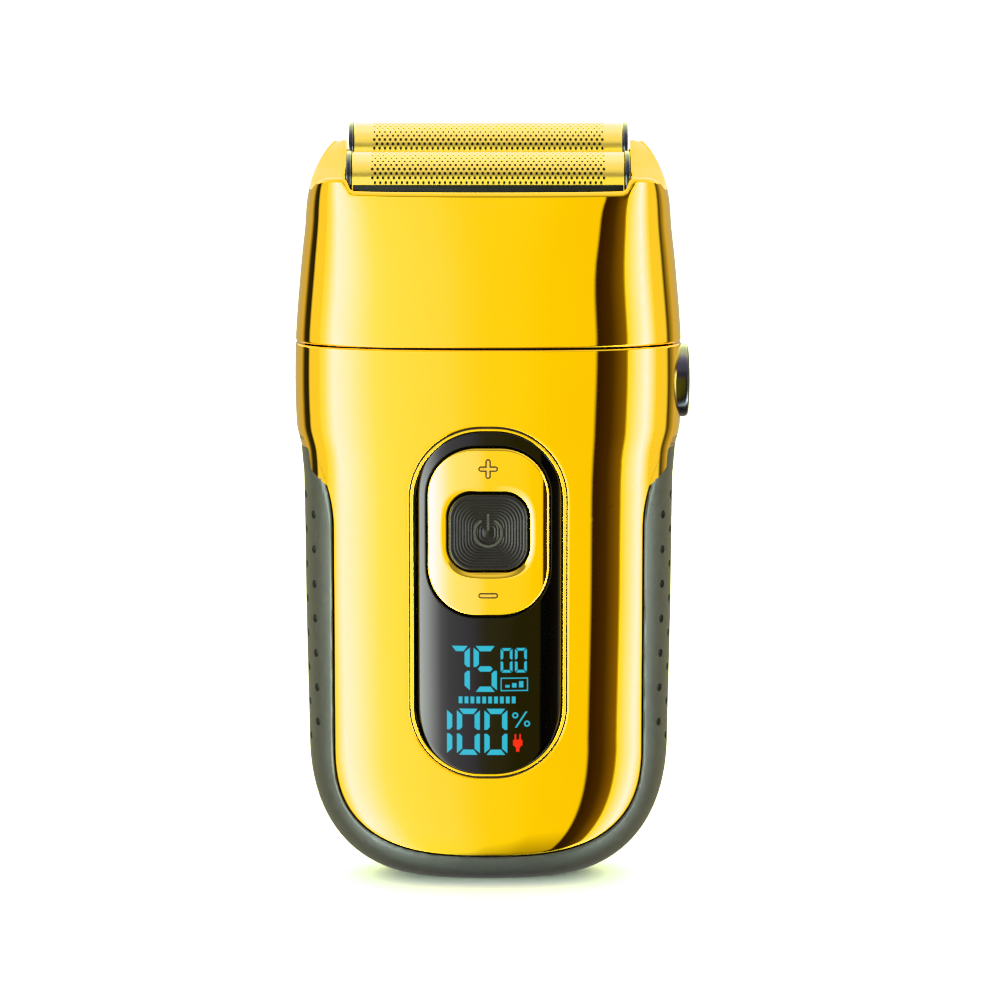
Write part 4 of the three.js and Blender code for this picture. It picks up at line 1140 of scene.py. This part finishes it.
def flexure(side):
    """A thin spring leg, cut in levels along its height."""
    node = f"flexure_{side}"
    a, b = low(node), high(node)
    levels = 20
    points = []
    for i in range(levels + 1):
        z = a.z + (b.z - a.z) * i / levels
        points += [(a.x, a.y, z), (b.x, a.y, z), (b.x, b.y, z), (a.x, b.y, z)]
    faces = grid_faces(levels + 1, 4, closed_rows=False) + end_faces(levels + 1, 4)
    strip = mesh_piece(node + "_mesh", points, faces, SPRING_STEEL, smooth=False)
    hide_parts(node)
    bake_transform(strip)


# ---------------------------------------------------------------- the lit display

# which bars are lit, in the order top, upper right, lower right, bottom, lower left, upper left, middle
DIGITS = {"0": "1111110", "1": "0000110", "5": "1011011", "7": "1110000"}


def lit_shape(name, outline, material=None):
    """A thin lit mark on the window's face."""
    points = [on_front(x, z, pane_sink(x) + depth) for depth in (-0.13, 0.1) for x, z in outline]
    made = mesh_piece(name, points, slab_faces(len(outline)), material or CYAN, smooth=False)
    return place(made, "body", "window_black")


def digit_bars(figure, x0, z0, width, height, bar):
    """The outlines of a seven-bar digit's lit bars. Their ends are slanted and don't quite touch."""
    x1, z1, middle = x0 + width, z0 + height, z0 + height / 2
    gap, half = 0.2 * bar, bar / 2

    def level(edge, inner):
        slant = 2.2 * gap
        return [(x0 + slant, edge), (x1 - slant, edge), (x1 - bar - gap, inner), (x0 + bar + gap, inner)]

    def upright(edge, inner, end, way):
        """A side bar from the middle of the digit to one end; way is 1 upwards and -1 downwards."""
        near, far = middle + way * half * 0.8, end - way * gap * 1.6
        return [(edge, near), (edge, far), (inner, end - way * (bar + gap)), (inner, near + way * half),
                ((edge + inner) / 2, near)]

    crossbar = [(x0 + bar * 0.8, middle), (x0 + bar * 1.25, middle + half), (x1 - bar * 1.25, middle + half),
                (x1 - bar * 0.8, middle), (x1 - bar * 1.25, middle - half), (x0 + bar * 1.25, middle - half)]
    bars = [level(z1, z1 - bar), upright(x1, x1 - bar, z1, 1), upright(x1, x1 - bar, z0, -1),
            level(z0, z0 + bar), upright(x0, x0 + bar, z0, -1), upright(x0, x0 + bar, z1, 1), crossbar]
    return [outline for outline, lit in zip(bars, DIGITS[figure]) if lit == "1"]


def display():
    """The lit figures and generic icons: speed above, charge below."""
    figures = [
        ("7", -6.2, 33.0, 3.25, 7.5, 0.85),
        ("5", -2.35, 33.0, 3.75, 7.5, 0.85),
        ("0", 2.0, 36.15, 1.9, 4.0, 0.42),
        ("0", 4.3, 36.15, 1.9, 4.0, 0.42),
        ("1", -6.65, 22.6, 0.95, 7.6, 0.85),
        ("0", -5.05, 22.6, 3.7, 7.6, 0.85),
        ("0", -0.62, 22.6, 3.7, 7.6, 0.85),
    ]
    for i, (figure, x0, z0, width, height, bar) in enumerate(figures):
        for k, outline in enumerate(digit_bars(figure, x0, z0, width, height, bar)):
            lit_shape(f"lit_figure_{i}_{k}", outline)
    frame_outline("lit_frame", 2.0, 6.4, 33.1, 35.3, 0.16)
    for i in range(3):
        lit_shape(f"lit_step_{i}", box_outline(2.75 + i * 1.1, 3.45 + i * 1.1, 33.7, 34.1 + i * 0.3))
    for i in range(10):
        lit_shape(f"lit_level_{i}", box_outline(-4.75 + i * 0.95, -4.15 + i * 0.95, 31.1, 32.2))
    percent()
    plug()


def frame_outline(name, x0, x1, z0, z1, line):
    sides = [(x0, x1, z0, z0 + line), (x0, x1, z1 - line, z1),
             (x0, x0 + line, z0 + line, z1 - line), (x1 - line, x1, z0 + line, z1 - line)]
    for k, side in enumerate(sides):
        lit_shape(f"{name}_{k}", box_outline(*side))


def percent():
    lit_shape("lit_slash", [(4.3, 27.1), (4.6, 27.1), (6.3, 29.7), (6.0, 29.7)])
    for k, (x, z) in enumerate(((4.35, 29.1), (6.25, 27.7))):
        for j in range(2):
            outer, inner = (arc((x, z), radius, 180 * j, 180 * j + 180, 8) for radius in (0.5, 0.27))
            lit_shape(f"lit_ring_{k}_{j}", outer + inner[::-1])


def plug():
    x, z = 4.75, 23.1
    right = [(0.25, 0), (0.3, 0.7), (0.75, 1.1), (0.75, 1.9), (0.55, 2.0)]
    outline = moved(right + [(-u, v) for u, v in reversed(right)], (x, z))
    lit_shape("lit_plug", outline, RED)
    for side in (-1, 1):
        prong = box_outline(*sorted((x + side * 0.25, x + side * 0.5)), z + 2.0, z + 2.9)
        lit_shape(f"lit_prong_{(side + 1) // 2}", prong, RED)


# ---------------------------------------------------------------- carried-over solids


def finish_inner_parts():
    """The CAD solids that stay get their own finishes."""
    finishes = {
        BLACK_PLASTIC: ["foil_frame", "drive_deck", "chassis", "motor_end_cap", "display_module",
                        "socket_tongue", "control_frame", "release_latch"],
        ZINC: ["power_switch", "speed_up_switch", "speed_down_switch", "deck_screw_left", "deck_screw_right",
               "motor_screw_left", "motor_screw_right", *(f"case_screw_{i}" for i in (1, 2, 3, 4))],
        NYLON: ["oscillator_bridge", "eccentric_cam"],
        CIRCUIT: ["main_board", "charge_board"],
        SEAL: ["hair_seal"],
        BLADE_STEEL: ["motor_shaft"],
        SPRING_STEEL: ["charging_socket"],
        MOTOR_CASE: ["motor_can"],
        CELL_WRAP: ["battery_pack"],
    }
    for material, nodes in finishes.items():
        for node in nodes:
            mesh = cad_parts[node].data
            mesh.materials.clear()
            mesh.materials.append(material)


# ---------------------------------------------------------------- studio


# the surround's light, level with the shaver: degrees to the right of the front, and brightness
BRIGHTEST = 40
AZIMUTH_LIGHT = [
    (-180, 0.45), (-125, 0.7, 0.6, 0.3), (-114, 0.03), (-101, 0.02), (-98, 1, 0.97, 0.85), (-78, 1, 1, 0.85),
    (-69, 8, 9.4, 5), (-63, 17, 21.6, 17), (-58, 29, 39, 29), (-50, 25, 33, 25), (-43, 19, 25, 19),
    (-35, 11, 14, 11), (-28, 5, 6.2, 5), (-21, 3.3, 4, 3.3), (-5, 2.2, 2.5, 2.2), (0, 1.4, 1.46, 0.3),
    (8, 1, 0.98, 0.03), (24.2, 1, 0.95, 0.03), (25, 0.03, 0.012, 0.006), (33, 0.06, 0.035, 0.006),
    (43, 0.25, 0.17, 0.01), (44, 1, 1.05, 0.3), (48, 5, 6, 5), (54, 15, 19, 15), (62, 30, 41, 30),
    (66, 20, 25, 20), (72, 7, 8, 6), (76, 1, 1, 0.85), (97, 1, 0.97, 0.85), (103, 0.02), (125, 0.7, 0.6, 0.3),
    (180, 0.45),
]
# and overhead: degrees from the front horizon over the top to the rear one
OVERHEAD_LIGHT = [
    (-180, 0.4), (0, 0.35), (30, 0.35), (38, 0.9), (60, 1), (80, 2), (100, 6, 6.8, 2.8), (150, 6, 6.8, 2.8),
    (165, 2), (178, 0.5),
]


def studio():
    """A pale floor, and a soft surround that is brighter on the left and has a dark flag on the right."""
    size = 30
    corners = [(x, y, 0) for x, y in box_outline(-size, size, -size, size)]
    floor_mesh = bpy.data.meshes.new("floor")
    floor_mesh.from_pydata(corners, [], [(0, 1, 2, 3)])
    floor = bpy.data.objects.new("floor", floor_mesh)
    bpy.context.scene.collection.objects.link(floor)
    floor_mesh.materials.append(finish("pale_floor", (0.9, 0.9, 0.9), 0.7, 0, 0.01, 3))
    floor.visible_glossy = False
    floor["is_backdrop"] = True
    world = bpy.data.worlds.new("studio")
    bpy.context.scene.world = world
    world.use_nodes = True
    nodes, links = world.node_tree.nodes, world.node_tree.links
    background = nodes["Background"]
    place_in = nodes.new("ShaderNodeTexCoord")
    split = nodes.new("ShaderNodeSeparateXYZ")
    links.new(place_in.outputs["Generated"], split.inputs["Vector"])
    forward = nodes.new("ShaderNodeMath")
    forward.operation = "MULTIPLY"
    forward.inputs[1].default_value = -1
    links.new(split.outputs["Y"], forward.inputs[0])

    def light_by_angle(axis, stops):
        """The stops' light, by the angle of the view from the front towards an axis."""
        angle = nodes.new("ShaderNodeMath")
        angle.operation = "ARCTAN2"
        links.new(split.outputs[axis], angle.inputs[0])
        links.new(forward.outputs["Value"], angle.inputs[1])
        share = nodes.new("ShaderNodeMapRange")
        set_inputs(share, From_Min=-math.pi, From_Max=math.pi)
        links.new(angle.outputs["Value"], share.inputs["Value"])
        ramp = nodes.new("ShaderNodeValToRGB")
        links.new(share.outputs["Result"], ramp.inputs["Fac"])
        fill_ramp(ramp, stops, -180)
        return ramp.outputs["Color"]

    level, overhead = light_by_angle("X", AZIMUTH_LIGHT), light_by_angle("Z", OVERHEAD_LIGHT)
    above = nodes.new("ShaderNodeMapRange")
    above.interpolation_type = "SMOOTHSTEP"
    set_inputs(above, From_Min=0.17, From_Max=0.3)
    links.new(split.outputs["Z"], above.inputs["Value"])
    blend = nodes.new("ShaderNodeMix")
    blend.data_type = "RGBA"
    links.new(above.outputs["Result"], blend.inputs["Factor"])
    links.new(level, blend.inputs[6])
    links.new(overhead, blend.inputs[7])
    links.new(blend.outputs[2], background.inputs["Color"])
    below = nodes.new("ShaderNodeMapRange")
    set_inputs(below, From_Min=-0.97, From_Max=-0.7, To_Min=BRIGHTEST * 0.2, To_Max=BRIGHTEST)
    links.new(split.outputs["Z"], below.inputs["Value"])
    links.new(below.outputs["Result"], background.inputs["Strength"])


def fill_ramp(ramp, stops, start):
    """Sets a ramp over a full turn from (degrees, brightness) or (degrees, red, green, blue) stops."""
    elements = ramp.color_ramp.elements
    while len(elements) < len(stops):
        elements.new(0.5)
    for element, (angle, *light) in zip(elements, stops):
        element.position = (angle - start) / 360
        level = light * 3 if len(light) == 1 else light
        element.color = [v / BRIGHTEST for v in level] + [1]


def camera():
    """The photograph's view: from the front, a little above, through a long lens."""
    lens = bpy.data.cameras.new("camera")
    lens.lens, lens.sensor_width = 150, 36
    lens.clip_end = 100
    eye = bpy.data.objects.new("camera", lens)
    bpy.context.scene.collection.objects.link(eye)
    target, distance, elevation = Vector((1.9, 0, 62)), 683, math.radians(8)
    eye.location = (target + Vector((0, -math.cos(elevation), math.sin(elevation))) * distance) * MM
    eye.rotation_euler = (math.radians(90) - elevation, 0, 0)
    bpy.context.scene.camera = eye


# ---------------------------------------------------------------- the object

place(gold_front(), "body", "gold_shell", "front_housing")
place(gold_rear(), "body", "gold_shell", "rear_housing")
place(grip(), "body", "grip_rubber", "grip_sleeve")
place(head(), "head", "gold_shell", "head_shell")
for which in ("front", "rear"):
    foil_unit(which)
    cutter(which)
    drive_post(which)
    foil_spring(which)
for side in ("left", "right"):
    flexure(side)
window()
bezel()
rocker()
power_button()
release_button()
display()
finish_inner_parts()
studio()
camera()
look = bpy.context.scene.view_settings
look.view_transform = "Standard"
look.use_curve_mapping = True
look.curve_mapping.tone = "FILMLIKE"
look.curve_mapping.extend = "HORIZONTAL"
look.curve_mapping.update()

bounds = {"cad": CAD_BOUNDS, "visual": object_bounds()}
{name: [[float(v) for v in corner] for corner in box] for name, box in bounds.items()}
